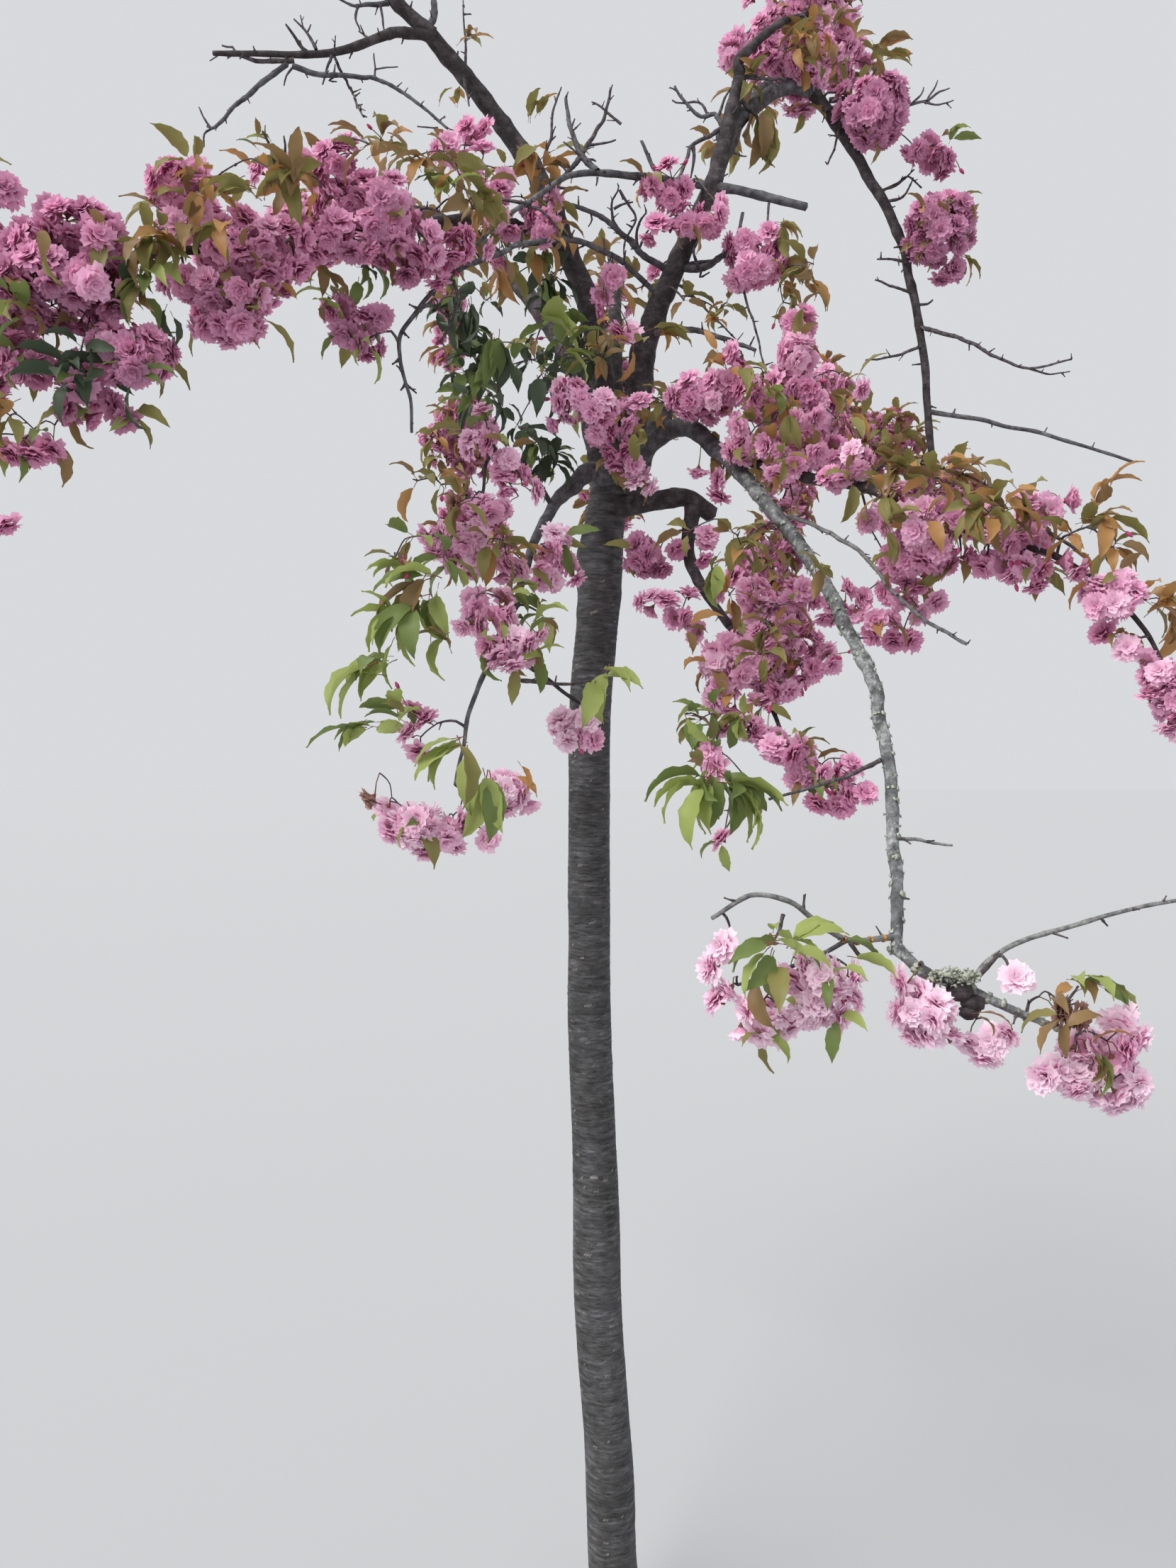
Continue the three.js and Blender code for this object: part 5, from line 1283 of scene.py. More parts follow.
# leaves that stand out in the photo: pixel, depth, how many, length in mm, colours, direction (x right, y away, z up), spread
LEAF_GROUPS = [
    (560, 880, -0.52, 5, 74, "spring", (-0.7, -0.3, -0.3), 0.7),
    (600, 815, -0.52, 3, 82, "green", (-0.5, -0.3, -0.5), 0.6), (585, 860, -0.53, 3, 84, "spring", (-0.3, -0.4, -0.7), 0.6),
    (530, 940, -0.53, 3, 82, "spring", (-0.8, -0.2, -0.3), 0.5), (650, 1065, -0.56, 2, 86, "green", (0.1, -0.4, -0.9), 0.3),
    (992, 1100, -0.50, 3, 86, "spring", (-0.8, -0.3, -0.2), 0.5), (1026, 1106, -0.50, 3, 86, "spring", (0.7, -0.3, -0.5), 0.5),
    (600, 840, -0.50, 5, 76, "green", (-0.2, -0.5, -0.5), 0.7),
    (540, 930, -0.52, 5, 72, "spring", (-0.8, -0.2, -0.6), 0.6),
    (630, 900, -0.50, 3, 70, "green", (-0.1, -0.6, -0.4), 0.6),
    (520, 1028, -0.54, 4, 76, "spring", (-0.9, -0.1, -0.1), 0.45),
    (560, 1012, -0.54, 4, 70, "green", (-0.2, -0.3, 0.3), 0.5),
    (640, 1052, -0.55, 4, 74, "spring", (-0.7, -0.3, -0.3), 0.35),
    (680, 1100, -0.55, 3, 84, "green", (0.1, -0.5, -0.8), 0.4),
    (745, 1090, -0.52, 2, 60, "bronze", (0.7, -0.2, -0.3), 0.5),
    (848, 948, -0.34, 3, 80, "spring", (0.3, -0.5, -0.35), 0.5),
    (1006, 1096, -0.48, 5, 80, "spring", (-0.5, -0.5, -0.4), 0.7),
    (1016, 1100, -0.48, 5, 82, "spring", (0.4, -0.4, -0.6), 0.6),
    (985, 1080, -0.46, 2, 60, "bronze", (0.0, -0.3, 0.5), 0.6),
    (1070, 166, -0.02, 6, 84, "hanging", (0.08, -0.1, -1.0), 0.50),
    (1235, 68, -0.02, 4, 62, "bronze", (0.6, -0.2, 0.3), 0.7),
    (1180, 30, -0.02, 4, 62, "olive", (0.4, -0.2, 0.6), 0.7),
    (1255, 80, -0.03, 3, 60, "olive", (0.9, -0.2, 0.0), 0.5),
    (1120, 60, -0.08, 3, 60, "amber", (0.3, -0.7, 0.0), 0.6),
    (1345, 190, -0.04, 3, 52, "green", (0.5, -0.4, 0.3), 0.7),
    (1366, 360, -0.02, 3, 52, "bronze", (0.6, -0.2, -0.7), 0.5),
    (1300, 298, -0.02, 2, 50, "olive", (-0.3, -0.2, 0.6), 0.6),
    (525, 212, -0.46, 2, 56, "bronze", (0.3, -0.3, 0.6), 0.6),
    (500, 196, -0.46, 2, 58, "olive", (-0.4, -0.3, 0.6), 0.6),
    (600, 225, -0.40, 4, 72, "amber", (-0.3, -0.4, 0.1), 0.6),
    (640, 270, -0.38, 5, 66, "green", (0.1, -0.4, -0.2), 0.8),
    (410, 245, -0.58, 5, 66, "bronze", (-0.4, -0.4, 0.1), 0.8),
    (350, 265, -0.60, 4, 70, "olive", (-0.5, -0.5, -0.1), 0.7),
    (310, 320, -0.62, 4, 66, "olive", (-0.3, -0.6, -0.6), 0.6),
    (215, 340, -0.62, 3, 64, "bronze", (-0.6, -0.3, -0.4), 0.6),
    (215, 400, -0.60, 2, 66, "green", (-0.2, -0.5, -0.7), 0.6),
    (240, 440, -0.60, 2, 66, "shade", (0.2, -0.4, -0.8), 0.4),
    (68, 335, -0.72, 2, 66, "green", (0.0, -0.5, -0.9), 0.3),
    (120, 525, -0.62, 3, 72, "shade", (0.0, -0.4, -0.6), 0.8),
    (10, 560, -0.66, 3, 62, "olive", (-0.2, -0.4, -0.5), 0.6),
    (515, 385, -0.42, 4, 62, "shade", (0.4, -0.3, -0.6), 0.7),
    (460, 385, -0.44, 3, 56, "olive", (0.0, -0.3, -0.5), 0.6),
    (370, 190, -0.55, 3, 30, "green", (0.0, -0.1, 0.6), 0.8),
    (640, 140, -0.12, 3, 50, "olive", (-0.2, -0.2, 0.5), 0.4),
    (660, 55, -0.08, 5, 46, "amber", (0.3, -0.2, 0.4), 0.8),
    (752, 160, -0.10, 3, 56, "olive", (0.4, -0.3, 0.5), 0.5),
    (745, 215, -0.14, 5, 72, "amber", (0.0, -0.5, -0.5), 0.6),
    (775, 230, -0.12, 3, 66, "amber", (0.5, -0.3, -0.2), 0.5),
    (700, 300, -0.26, 4, 66, "bronze", (-0.3, -0.4, -0.2), 0.7),
    (700, 380, -0.22, 4, 74, "bronze", (0.0, -0.2, -0.8), 0.6),
    (775, 400, -0.02, 5, 78, "shade", (0.0, -0.2, -0.9), 0.5),
    (660, 430, -0.20, 4, 82, "shade", (-0.1, -0.2, -1.0), 0.4),
    (700, 480, -0.20, 5, 84, "shade", (0.1, -0.2, -0.8), 0.6),
    (690, 560, -0.24, 5, 78, "shade", (0.0, -0.2, -0.8), 0.7),
    (760, 540, -0.18, 4, 76, "shade", (0.0, -0.3, -0.8), 0.6),
    (760, 620, -0.18, 5, 70, "shade", (0.0, -0.3, -0.8), 0.7),
    (760, 450, -0.16, 3, 80, "spring", (0.7, -0.3, -0.3), 0.4),
    (800, 495, -0.20, 3, 76, "green", (0.3, -0.5, -0.4), 0.6),
    (860, 475, -0.14, 3, 62, "olive", (0.2, -0.5, -0.5), 0.6),
    (850, 360, 0.30, 3, 60, "amber", (-0.2, -0.3, 0.3), 0.6),
    (930, 468, -0.12, 4, 74, "amber", (0.7, -0.3, -0.3), 0.5),
    (1010, 450, -0.12, 4, 60, "amber", (0.2, -0.4, 0.1), 0.8),
    (1120, 370, -0.10, 3, 60, "bronze", (0.4, -0.2, -0.8), 0.4),
    (1150, 400, -0.10, 4, 62, "amber", (0.7, -0.2, -0.4), 0.6),
    (1100, 325, -0.12, 3, 62, "olive", (0.7, -0.2, -0.4), 0.5),
    (1050, 520, -0.26, 4, 64, "amber", (0.2, -0.6, -0.3), 0.7),
    (1085, 555, -0.30, 4, 66, "green", (0.3, -0.6, -0.4), 0.7),
    (1180, 560, -0.28, 4, 64, "bronze", (0.6, -0.4, -0.2), 0.7),
    (1190, 600, -0.30, 3, 64, "olive", (0.6, -0.4, -0.5), 0.6),
    (900, 615, -0.22, 4, 56, "bronze", (0.3, -0.4, -0.6), 0.7),
    (1260, 655, -0.40, 5, 60, "bronze", (0.2, -0.3, 0.4), 0.9),
    (1330, 665, -0.42, 5, 60, "olive", (0.5, -0.3, 0.2), 0.8),
    (1405, 705, -0.50, 5, 72, "amber", (0.0, -0.5, -0.4), 0.8),
    (1385, 720, -0.52, 4, 74, "olive", (-0.3, -0.5, -0.7), 0.5),
    (1430, 700, -0.50, 4, 70, "bronze", (0.4, -0.5, -0.6), 0.5),
    (1525, 740, -0.48, 5, 64, "bronze", (0.6, -0.3, 0.2), 0.8),
    (1540, 700, -0.46, 4, 60, "amber", (0.5, -0.2, 0.4), 0.7),
    (1630, 850, -0.50, 5, 66, "amber", (0.4, -0.3, 0.4), 0.8),
    (1590, 890, -0.50, 3, 60, "olive", (-0.4, -0.4, -0.4), 0.6),
    (1050, 770, -0.30, 4, 66, "olive", (0.2, -0.5, -0.5), 0.7),
    (1010, 800, -0.32, 3, 66, "green", (-0.3, -0.5, -0.6), 0.6),
    (1160, 800, -0.38, 3, 60, "olive", (0.4, -0.4, -0.4), 0.7),
    (1040, 1010, -0.34, 3, 60, "green", (-0.3, -0.5, -0.4), 0.7),
    (1090, 1322, -0.76, 4, 72, "green", (-0.2, -0.5, 0.1), 0.8),
    (1125, 1325, -0.76, 4, 74, "spring", (0.8, -0.3, 0.1), 0.5),
    (1085, 1345, -0.78, 4, 70, "green", (-0.5, -0.6, -0.5), 0.6),
    (1070, 1400, -0.78, 1, 62, "olive", (0.0, -0.4, -0.8), 0.5),
    (1195, 1338, -0.73, 2, 66, "spring", (0.9, -0.2, 0.0), 0.3),
    (1525, 1385, -0.72, 4, 60, "green", (0.4, -0.4, 0.2), 0.7),
    (1555, 1400, -0.72, 3, 62, "spring", (0.9, -0.2, -0.1), 0.4),
    (1500, 1440, -0.76, 3, 60, "bronze", (-0.2, -0.5, -0.5), 0.7),
    (1560, 1490, -0.76, 3, 56, "green", (0.2, -0.5, -0.6), 0.6),
    (1400, 1440, -0.76, 2, 50, "bronze", (0.4, -0.4, -0.5), 0.6),
]


def make_leaves(clusters):
    gen = np.random.default_rng(99)
    kinds = [leaf_kind(700 + i) for i in range(12)]
    rows = []  # base, direction, roll, size, colour
    for u, v, y, count, size, pal, d, spread in LEAF_GROUPS:
        base = at(u, v, leaf_depth(u, v, y)) * 1000
        for _ in range(int(round(count * 1.2))):
            dd = unit(np.array(d) + gen.normal(0, spread * 0.6, 3))
            rows.append((base + gen.normal(0, 6, 3) - dd * 10, dd, gen.normal(0, 0.5), size * (gen.uniform(0.82, 1.05) if size >= 80 else gen.uniform(0.55, 0.92)), gen.choice(PALETTE[pal])))
    for spur, name, out, own in clusters:
        look = LOOK.get(name, (1.4, 0.35, "bronze"))
        spray = isinstance(own, str)
        if not spray and gen.random() > look[1]:
            continue
        start = gen.uniform(0, 6.28)
        many = int(gen.integers(3, 6)) if spray else int(gen.integers(2, 4))
        for i in range(many):
            a = start + i * 2.2
            side = unit(np.cross(out, [0.3, 0.2, 1.0]))
            other = np.cross(out, side)
            dd = unit(out * gen.uniform(0.35, 1.2) + side * math.cos(a) + other * math.sin(a) + np.array([0, 0, gen.uniform(-0.3, 0.35)]))
            rows.append((spur + out * (0 if spray else 14), dd, gen.normal(0, 0.6), gen.uniform(32, 60), gen.choice(PALETTE[own if spray else look[2]])))
    bag = Bag()
    order = gen.permutation(len(rows))
    for k, (kv, kf, kk) in enumerate(kinds):
        for i in order[k :: len(kinds)]:
            base, d, roll, size, colour = rows[i]
            up = np.array([0, 0, 1.0]) - d * d[2]
            up = unit(up) if np.linalg.norm(up) > 0.15 else unit(np.cross(d, [1.0, 0.3, 0]))
            y = np.cross(up, d)
            c, s = math.cos(roll), math.sin(roll)
            y, up = y * c + up * s, up * c - y * s
            m = np.stack([d, y, up], -1)
            bag.add((kv * size) @ m.T / 1000 + base / 1000, kf, np.where(kk == 1, 6, colour))
    bag.object("leaves", LEAVES + [STALK_RED], "blossom_and_leaf")
    print("leaves", len(rows), bag.tris)
    return bag.tris


# ------------------------------------------------------------------ twigs
# bare twigs that show in the photo: thickness at the butt and the tip in mm, then pixels with depth
BARE = [
    (13, 8, [(600, 45, -0.08), (613, 22, -0.08), (612, 0, -0.08), (617, -30, -0.08)]),
    (9, 3, [(548, 4, -0.10), (520, 6, -0.11), (500, 9, -0.12), (477, 0, -0.13)]),
    (5, 2.5, [(505, 9, -0.12), (502, 28, -0.12), (507, 43, -0.12)]),
    (5, 2.5, [(536, 5, -0.11), (540, 25, -0.11), (543, 44, -0.11)]),
    (8, 3, [(436, 76, -0.17), (422, 60, -0.18), (404, 34, -0.19)]),
    (6, 2.5, [(446, 70, -0.17), (432, 45, -0.16), (415, 27, -0.16)]),
    (3, 2, [(433, 47, -0.16), (440, 36, -0.16)]),
    (8, 2.5, [(415, 85, -0.18), (370, 86, -0.19), (340, 80, -0.2), (328, 68, -0.2), (314, 65, -0.2)]),
    (9, 4, [(404, 90, -0.18), (360, 126, -0.19), (330, 150, -0.2), (305, 180, -0.2), (292, 178, -0.2)]),
    (4, 2, [(301, 180, -0.2), (289, 190, -0.2), (289, 208, -0.2)]),
    (4, 2, [(297, 180, -0.2), (288, 165, -0.2), (280, 152, -0.2)]),
    (4, 2, [(412, 96, -0.18), (405, 108, -0.18), (400, 122, -0.18)]),
    (4, 2, [(397, 95, -0.18), (388, 99, -0.18), (380, 105, -0.18)]),
    (9, 4, [(412, 93, -0.18), (450, 105, -0.17), (500, 108, -0.16), (535, 114, -0.15), (570, 133, -0.14), (605, 158, -0.14), (632, 182, -0.15)]),
    (4, 2, [(528, 110, -0.15), (529, 95, -0.15), (528, 75, -0.15)]),
    (3, 2, [(529, 98, -0.15), (545, 97, -0.15), (561, 95, -0.15)]),
    (5, 2.5, [(468, 78, -0.17), (460, 98, -0.17), (454, 120, -0.17)]),
    (5, 2.5, [(472, 80, -0.17), (483, 103, -0.16), (497, 130, -0.16), (512, 163, -0.3)]),
    (4, 2, [(475, 106, -0.16), (463, 114, -0.16), (476, 116, -0.16)]),
    (3, 2, [(618, 180, -0.14), (600, 180, -0.14), (588, 178, -0.14)]),
    (6, 2.5, [(655, 110, -0.07), (658, 130, -0.07), (662, 150, -0.08)]),
    (5, 2, [(657, 95, -0.06), (656, 50, -0.06), (653, 0, -0.06)]),
    # star twigs over the middle
    (12, 4.8, [(842, 242, -0.16), (825, 225, -0.15), (812, 204, -0.14), (802, 170, -0.13), (797, 138, -0.13)]),
    (8.4, 3.6, [(812, 232, -0.15), (828, 205, -0.14), (845, 180, -0.13), (857, 150, -0.13), (862, 124, -0.13)]),
    (4.8, 2.4, [(830, 205, -0.14), (850, 202, -0.14), (869, 197, -0.14)]),
    (4.8, 2.4, [(876, 175, -0.13), (860, 161, -0.13), (846, 150, -0.13), (835, 144, -0.13)]),
    (4.8, 2.4, [(812, 205, -0.14), (806, 185, -0.14), (810, 168, -0.14)]),
    (4.8, 2.4, [(824, 224, -0.15), (808, 212, -0.15), (795, 200, -0.15)]),
    (4.8, 2.4, [(826, 226, -0.15), (836, 226, -0.15), (842, 229, -0.15)]),
    (8.4, 3.6, [(812, 230, -0.15), (798, 246, -0.16), (780, 262, -0.17)]),
    (6, 2.4, [(768, 222, -0.14), (777, 190, -0.13), (781, 150, -0.13), (792, 124, -0.13)]),
    (3.6, 2.4, [(775, 200, -0.13), (785, 192, -0.13)]),
    (4.8, 2.4, [(785, 264, -0.17), (808, 266, -0.16), (829, 269, -0.16)]),
    # thorny twigs between the leaders
    (10, 5, [(935, 272, -0.10), (922, 235, -0.10), (905, 200, -0.10)]),
    (12, 7, [(937, 378, -0.03), (905, 358, -0.05), (880, 332, -0.08), (850, 307, -0.11), (805, 289, -0.14)]),
    (6, 2.5, [(872, 325, -0.08), (862, 297, -0.08), (872, 263, -0.08)]),
    (5, 2.5, [(866, 295, -0.08), (880, 288, -0.08), (893, 285, -0.08)]),
    (5, 2.5, [(874, 268, -0.08), (888, 290, -0.08), (897, 310, -0.08), (880, 345, -0.08), (882, 372, -0.08)]),
    (6, 3, [(900, 355, -0.05), (898, 322, -0.06), (912, 300, -0.07)]),
    (5, 2.5, [(900, 352, -0.05), (908, 335, -0.05), (922, 315, -0.05)]),
    (4, 2, [(833, 297, -0.12), (834, 310, -0.12), (830, 320, -0.12)]),
    (4, 2, [(843, 250, -0.16), (842, 262, -0.16)]),
    (8, 5, [(1022, 178, -0.05), (1000, 192, -0.06), (975, 206, -0.06), (965, 235, -0.08), (955, 262, -0.1)]),
    (7, 3, [(978, 206, -0.06), (978, 228, -0.06), (974, 250, -0.06)]),
    (9, 4, [(1020, 178, -0.05), (1008, 160, -0.05), (990, 165, -0.05), (968, 145, -0.05), (952, 122, -0.05)]),
    (6, 3, [(1012, 165, -0.05), (1020, 145, -0.05), (1030, 125, -0.05)]),
    (5, 2.5, [(1000, 165, -0.05), (985, 143, -0.05), (960, 146, -0.05), (948, 140, -0.05)]),
    (4, 2, [(1035, 215, -0.05), (1045, 220, -0.05), (1053, 221, -0.05)]),
    (14, 8, [(962, 378, -0.03), (992, 378, -0.06), (1018, 362, -0.09), (1040, 352, -0.10)]),
    (6, 3, [(985, 378, -0.06), (978, 355, -0.06), (985, 340, -0.06)]),
    (5, 2.5, [(990, 380, -0.06), (988, 392, -0.06), (1000, 384, -0.06)]),
    (5, 2.5, [(950, 395, -0.03), (975, 415, -0.05), (1000, 440, -0.08), (1035, 475, -0.12)]),
    (12, 6, [(925, 470, -0.03), (970, 465, -0.06), (1020, 476, -0.1), (1065, 495, -0.15)]),
    (8, 4, [(1042, 130, -0.05), (1052, 148, -0.04), (1068, 165, -0.03), (1070, 178, -0.02)]),
    (7, 4, [(1045, 108, -0.05), (1075, 112, -0.05), (1110, 113, -0.04)]),
    # down the front of the crown, grey
    (6, 3, [(1048, 300, -0.08), (1040, 345, -0.09), (1045, 400, -0.10), (1062, 450, -0.12), (1080, 520, -0.16)]),
    # left: what hangs under the crossing bough
    (6, 3, [(640, 395, -0.36), (645, 420, -0.36), (640, 445, -0.36), (622, 480, -0.36)]),
    (5, 2, [(612, 430, -0.37), (630, 445, -0.37), (650, 440, -0.37)]),
    (4, 2, [(592, 440, -0.38), (612, 420, -0.38), (618, 438, -0.38)]),
    (9, 7, [(965, 375, -0.03), (1000, 370, -0.05), (1035, 355, -0.07)]),
    (6, 4, [(742, 286, -0.21), (720, 284, -0.21), (702, 283, -0.21)]),
    (5, 3, [(740, 290, -0.2), (762, 296, -0.2), (778, 310, -0.2), (790, 325, -0.2)]),
    (5, 4, [(1165, 155, 0.0), (1200, 140, 0.0), (1225, 115, 0.0), (1235, 95, 0.0)]),
    (4, 3, [(1160, 155, 0.0), (1190, 150, 0.0), (1215, 145, 0.0)]),
    (4, 3, [(1245, 268, 0.0), (1265, 258, 0.0), (1280, 250, 0.0), (1300, 265, 0.0)]),
    (5, 4, [(1477, 749, -0.46), (1505, 766, -0.47), (1530, 787, -0.48)]),
    # arch side twigs
    (6, 3, [(1250, 285, 0.0), (1272, 278, 0.0), (1284, 262, 0.0)]),
    (5, 2.5, [(1242, 270, 0.0), (1262, 262, 0.0), (1290, 240, 0.0)]),
    (6, 3, [(1285, 372, 0.0), (1262, 366, -0.02), (1238, 366, -0.03)]),
    (6, 3, [(1290, 415, 0.0), (1262, 405, -0.02), (1234, 394, -0.03)]),
    (5, 3, [(1296, 430, 0.0), (1308, 428, 0.0), (1316, 422, 0.0)]),
    (8, 3, [(1300, 462, 0.0), (1350, 475, -0.05), (1400, 500, -0.08), (1450, 520, -0.1), (1512, 507, -0.12)]),
    (4, 2, [(1448, 519, -0.1), (1480, 528, -0.1), (1510, 524, -0.1)]),
    (6, 3, [(1302, 488, 0.0), (1262, 503, -0.03), (1222, 508, -0.05)]),
    (6, 3, [(1160, 150, 0.0), (1185, 165, 0.0), (1178, 205, 0.0), (1168, 232, 0.0)]),
    (10, 4, [(1170, 142, 0.02), (1215, 138, 0.0), (1262, 150, -0.02), (1310, 142, -0.03)]),
    (5, 2, [(1308, 142, -0.03), (1325, 130, -0.03), (1340, 124, -0.03)]),
    (4, 2, [(1308, 142, -0.03), (1318, 122, -0.03), (1322, 112, -0.03)]),
    (4, 2, [(1300, 143, -0.03), (1325, 148, -0.03), (1345, 140, -0.03)]),
    (4, 2, [(1285, 147, -0.03), (1300, 132, -0.03), (1303, 122, -0.03)]),
    # from the shoulder to the right, grey
    (7, 5, [(1112, 728, -0.24), (1140, 738, -0.27), (1185, 760, -0.31), (1225, 790, -0.34), (1260, 835, -0.36), (1310, 878, -0.38), (1365, 908, -0.4)], True),
    (6, 3, [(1258, 1182, -0.58), (1300, 1186, -0.58), (1345, 1192, -0.58)], True),
    (6.5, 3.5, [(1243, 1072, -0.52), (1200, 1092, -0.50), (1140, 1112, -0.46), (1085, 1128, -0.42)]),
    (6, 3, [(1200, 1330, -0.71), (1215, 1350, -0.72), (1232, 1352, -0.72)]),
    (5, 2.5, [(1105, 1290, -0.74), (1098, 1312, -0.75), (1092, 1325, -0.76)]),
    (6, 3, [(1380, 1378, -0.70), (1395, 1360, -0.70), (1412, 1345, -0.70)]),
    (5, 2.5, [(1490, 1445, -0.70), (1505, 1415, -0.71), (1520, 1390, -0.72)]),
    # feeding the small clusters
    (7, 3, [(735, 960, -0.34), (770, 962, -0.33), (810, 965, -0.32), (850, 958, -0.32)]),
    (6, 3, [(1215, 690, -0.30), (1250, 655, -0.36), (1330, 660, -0.40), (1410, 690, -0.46)]),
    (5, 2.5, [(395, 255, -0.52), (385, 215, -0.54), (370, 185, -0.55)]),
    (4, 2, [(400, 235, -0.53), (402, 205, -0.54), (401, 190, -0.55)]),
]


def spurs_on(bag, path, rad, gen, every, length, thick, lean=None):
    """Short fruiting spurs, knobbed, that stand off the wood."""
    step = np.linalg.norm(np.diff(path, axis=0), axis=1)
    s = np.concatenate([[0], np.cumsum(step)])
    t, n, b = frames_of(path)
    pos = gen.uniform(0.2, 1.0) * every
    count = 0
    while pos < s[-1]:
        i = min(int(np.searchsorted(s, pos)), len(path) - 1)
        a = gen.uniform(0, 2 * math.pi)
        d = unit(n[i] * math.cos(a) + b[i] * math.sin(a) + t[i] * gen.uniform(0.1, 0.9) + np.array([0, 0, 0.25]))
        ln = length * gen.uniform(0.35, 1.25)
        p0 = path[i]
        reach = rad[i] + ln
        bend = unit(gen.normal(0, 1, 3)) * ln * 0.22
        pts = np.array([p0 + d * rad[i] * 0.5, p0 + d * (rad[i] + ln * 0.45) + bend * 0.6, p0 + d * reach + bend])
        th = thick * gen.uniform(0.75, 1.3)
        path2, tt = spline(pts, max(ln / 3.2, 0.002))
        knob = 1 + 0.35 * np.exp(-(((tt - 1) / 0.16) ** 2)) + 0.18 * np.cos(tt * 21)
        v, f = tube(path2, th * (1.25 - 0.65 * tt) * knob, 5, None, False, True)
        bag.add(v, f, 0)
        if gen.random() < 0.28 and ln > 0.012:
            d2 = unit(d + unit(gen.normal(0, 1, 3)) * 0.9)
            q = path2[len(path2) // 2]
            pts = np.array([q, q + d2 * ln * 0.3, q + d2 * ln * 0.62])
            path3, t3 = spline(pts, max(ln / 5, 0.002))
            v, f = tube(path3, th * (0.85 - 0.45 * t3), 4, None, False, True)
            bag.add(v, f, 0)
        pos += every * gen.uniform(0.45, 1.7)
        count += 1
    return count


def make_twigs(wood):
    gen = np.random.default_rng(66)
    bag = Bag()
    for k, (d0, d1, pix, *pale) in enumerate(BARE):
        pts = np.array([at(*p) for p in pix])
        path, t = spline(pts, 0.008)
        length = np.linalg.norm(np.diff(path, axis=0), axis=1).sum()
        wob = np.stack([vnoise(np.stack([t * length * 60, t * 0 + j * 5.1, t * 0 + k], -1), j) for j in range(3)], -1)
        path = path + wob * 0.0016 * np.clip(t * 6, 0, 1)[:, None]
        rad = 0.5 * (d0 + (d1 - d0) * t) / 1000 * (1 + 0.10 * np.sin(t * length * 420 + k))
        v, f = tube(path, rad, 7 if d0 > 6 else 5, lambda p: 1 + 0.08 * vnoise(p * 130, 3), False, True)
        bag.add(v, f, 2 if pale else (1 if d0 >= 9 else 0))
        if length > 0.05:
            spurs_on(bag, path, rad, gen, 0.022, 0.011, 0.0012)
    for name in ("left_leader", "right_leader", "bare_side_branch", "right_arch_fall", "left_leader_top", "right_arch", "arch_side_twig", "upper_crossing", "crossing_bough", "low_bare_twig", "low_arching_twig", "back_top_limb", "back_left_bough", "back_right_bough", "back_centre_bough", "lichened_bough"):
        for path, rad, n, look in SKELETON:
            if n == name:
                every = {"right_arch_fall": 0.035, "lichened_bough": 0.09, "left_leader": 0.05, "upper_crossing": 0.028, "crossing_bough": 0.028, "bare_side_branch": 0.024}.get(name, 0.05)
                size = {"right_arch_fall": 0.014, "bare_side_branch": 0.020, "upper_crossing": 0.014}.get(name, 0.013)
                spurs_on(bag, path, rad, gen, every, size, 0.0016)
    for pts, r0, r1 in wood:
        path, t = spline(pts / 1000, 0.012)
        rad = (r0 + (r1 - r0) * t) / 1000
        v, f = tube(path, rad, 5, None, False, True)
        bag.add(v, f, 0)
        if gen.random() < 0.5:
            spurs_on(bag, path, rad, gen, 0.045, 0.009, 0.0011)
    bag.object("twigs", [TWIG_BARK, GREY_BARK, PALE_TWIG], "bough_bark")
    print("twigs", bag.tris)
    return bag.tris


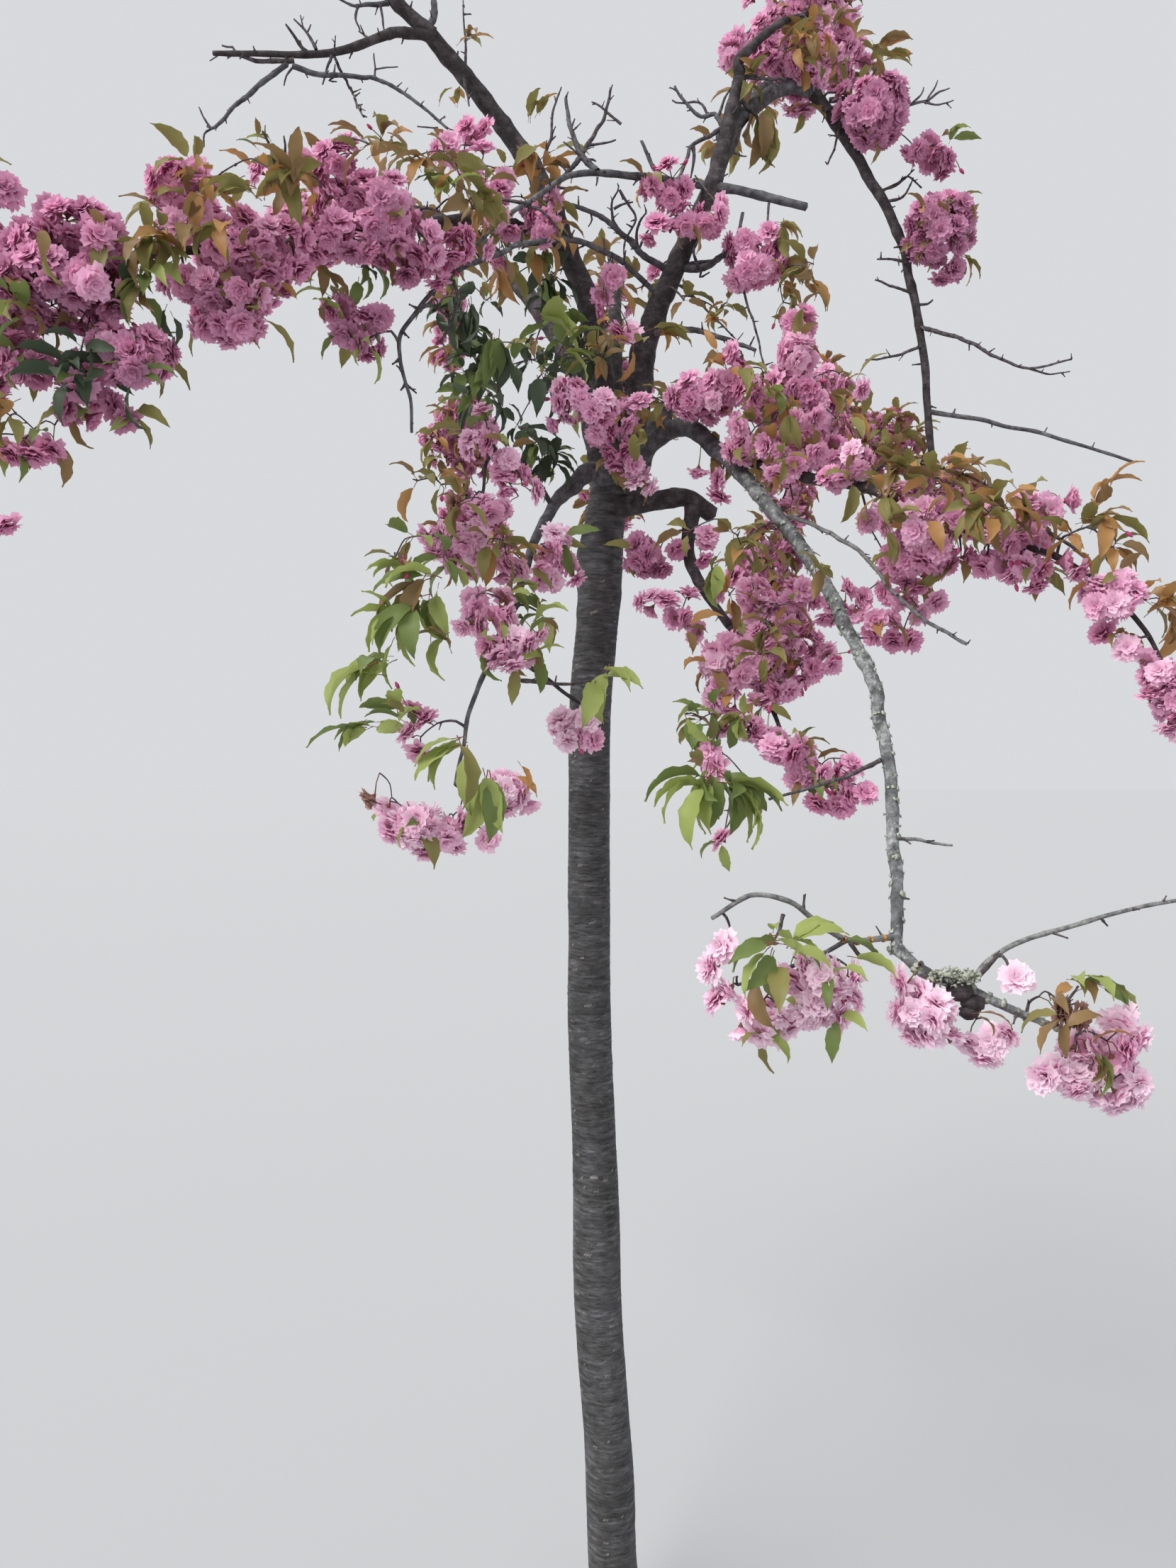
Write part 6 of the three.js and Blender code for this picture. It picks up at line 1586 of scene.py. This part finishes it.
# ------------------------------------------------------------------ lichen on the hanging bough
def make_lichen():
    gen = np.random.default_rng(55)
    bag = Bag()
    for path, rad, name, look in SKELETON:
        if look != "lichen":
            continue
        t, n, b = frames_of(path)
        length = np.linalg.norm(np.diff(path, axis=0), axis=1).sum()
        for _ in range(int(length * (360 if name == "lichened_tip" else 190))):
            i = int(gen.integers(0, len(path)))
            a = gen.uniform(0, 6.28)
            out = n[i] * math.cos(a) + b[i] * math.sin(a)
            p = path[i] + out * rad[i] * 1.02
            k = 6
            ang = 2 * math.pi * np.arange(k) / k
            x = unit(np.cross(out, t[i] + gen.normal(0, 0.3, 3)))
            y = np.cross(out, x)
            r = gen.uniform(1.6, 4.6) / 1000 * gen.uniform(0.55, 1.25, k)
            rim = p + x * (np.cos(ang) * r)[:, None] + y * (np.sin(ang) * r)[:, None] + out * (gen.uniform(0.2, 2.6, k) / 1000)[:, None]
            v = np.vstack([rim, p + out * 0.0004, p - out * 0.0015])
            f = [(k, j, (j + 1) % k) for j in range(k)] + [(k + 1, (j + 1) % k, j) for j in range(k)]
            bag.add(v, np.array(f), 0)
    # golden crust on the low twig
    for path, rad, name, look in SKELETON:
        if name != "low_arching_twig":
            continue
        t, n, b = frames_of(path)
        for _ in range(90):
            i = int(np.clip(gen.normal(len(path) * 0.22, len(path) * 0.09), 0, len(path) - 1))
            a = gen.uniform(0, 6.28)
            out = n[i] * math.cos(a) + b[i] * math.sin(a)
            p = path[i] + out * rad[i]
            k = 6
            ang = 2 * math.pi * np.arange(k) / k
            x = unit(np.cross(out, t[i]))
            y = np.cross(out, x)
            r = gen.uniform(1.2, 3.0) / 1000 * gen.uniform(0.6, 1.2, k)
            rim = p + x * (np.cos(ang) * r)[:, None] + y * (np.sin(ang) * r)[:, None] + out * (gen.uniform(0.1, 0.9, k) / 1000)[:, None]
            v = np.vstack([rim, p + out * 0.001, p - out * 0.001])
            f = [(k, j, (j + 1) % k) for j in range(k)] + [(k + 1, (j + 1) % k, j) for j in range(k)]
            bag.add(v, np.array(f), 1)
    # a tuft on the low limb, over a dark knot
    for _ in range(150):
        spin, reach = gen.uniform(0, 6.28), math.sqrt(gen.uniform(0, 1))
        p = at(1346 + 38 * reach * math.cos(spin), 1378 + 13 * reach * math.sin(spin), -0.712 + gen.uniform(-0.012, 0.012))
        out = unit(gen.normal(0, 1, 3) + np.array([0, -0.6, 0.5]))
        x = unit(np.cross(out, [0.2, 1.0, 0.3]))
        y = np.cross(out, x)
        k = 5
        ang = 2 * math.pi * np.arange(k) / k
        r = gen.uniform(1.6, 4.4) / 1000 * gen.uniform(0.4, 1.3, k)
        rim = p + x * (np.cos(ang) * r)[:, None] + y * (np.sin(ang) * r)[:, None] + out * (gen.uniform(0.0, 2.4, k) / 1000)[:, None]
        v = np.vstack([rim, p + out * 0.0006, p - out * 0.0014])
        f = [(k, j, (j + 1) % k) for j in range(k)] + [(k + 1, (j + 1) % k, j) for j in range(k)]
        bag.add(v, np.array(f), 0)
    knot, kf = sphere_kind(5, 9, 15.0, 15.0)
    for u, v, y, size in ((1352, 1398, -0.704, 1.0), (1372, 1414, -0.702, 0.9), (1366, 1428, -0.704, 0.7)):
        lump = knot * size * (1 + 0.16 * vnoise(knot / 7.0 + u, 9))[:, None] * np.array([1.1, 0.9, 0.8])
        bag.add(lump / 1000 + at(u, v, y), kf, 2)
    bag.object("lichen", [LICHEN_PALE, LICHEN_GOLD, BOUGH_BARK_AND_SHADE], "lichened_bark")
    return bag.tris


counts = {"stem": make_stem(), "boughs": make_boughs()}
kinds, flowers, clusters, stalks, wood = make_crown()
counts["blossom"] = make_flowers(kinds, flowers)
counts["stalks"] = make_stalks(flowers, stalks, clusters)
counts["leaves"] = make_leaves(clusters)
counts["twigs"] = make_twigs(wood)
counts["lichen"] = make_lichen()
print("triangles", counts)

# ------------------------------------------------------------------ studio
def plain_material(name, colour, rough):
    mat = bpy.data.materials.new(name)
    mat.use_nodes = True
    b = mat.node_tree.nodes["Principled BSDF"]
    b.inputs["Base Color"].default_value = colour
    b.inputs["Roughness"].default_value = rough
    return mat


floor_mesh = bpy.data.meshes.new("studio_floor")
floor_mesh.from_pydata([(-30, -30, -0.001), (30, -30, -0.001), (30, 30, -0.001), (-30, 30, -0.001)], [], [(0, 1, 2, 3)])
floor_mesh.materials.append(plain_material("studio_floor", srgb(167, 168, 170), 0.9))
floor = bpy.data.objects.new("studio_floor", floor_mesh)
scene.collection.objects.link(floor)

world = bpy.data.worlds.new("studio")
scene.world = world
world.use_nodes = True
world.node_tree.nodes["Background"].inputs[0].default_value = (0.90, 0.92, 0.95, 1.0)
world.node_tree.nodes["Background"].inputs[1].default_value = 0.76


def soft(name, where, power, spread, colour):
    """A large soft light far away, shining from where towards the tree."""
    data = bpy.data.lights.new(name, "SUN")
    data.energy = power
    data.angle = math.radians(spread)
    data.color = colour
    ob = bpy.data.objects.new(name, data)
    scene.collection.objects.link(ob)
    d = -np.array(where, float)
    ob.rotation_euler = (math.atan2(np.hypot(d[0], d[1]), -d[2]), 0, math.atan2(-d[0], d[1]))
    return ob


soft("key", (-3.5, -2.6, 4.4), 3.2, 42, (1.0, 0.985, 0.96))
soft("fill", (3.6, -3.0, 2.2), 0.36, 70, (0.96, 0.98, 1.0))
soft("back", (-1.2, 4.4, 3.4), 0.8, 60, (1.0, 0.99, 0.98))

scene.view_settings.view_transform = "Standard"
scene.view_settings.look = "None"
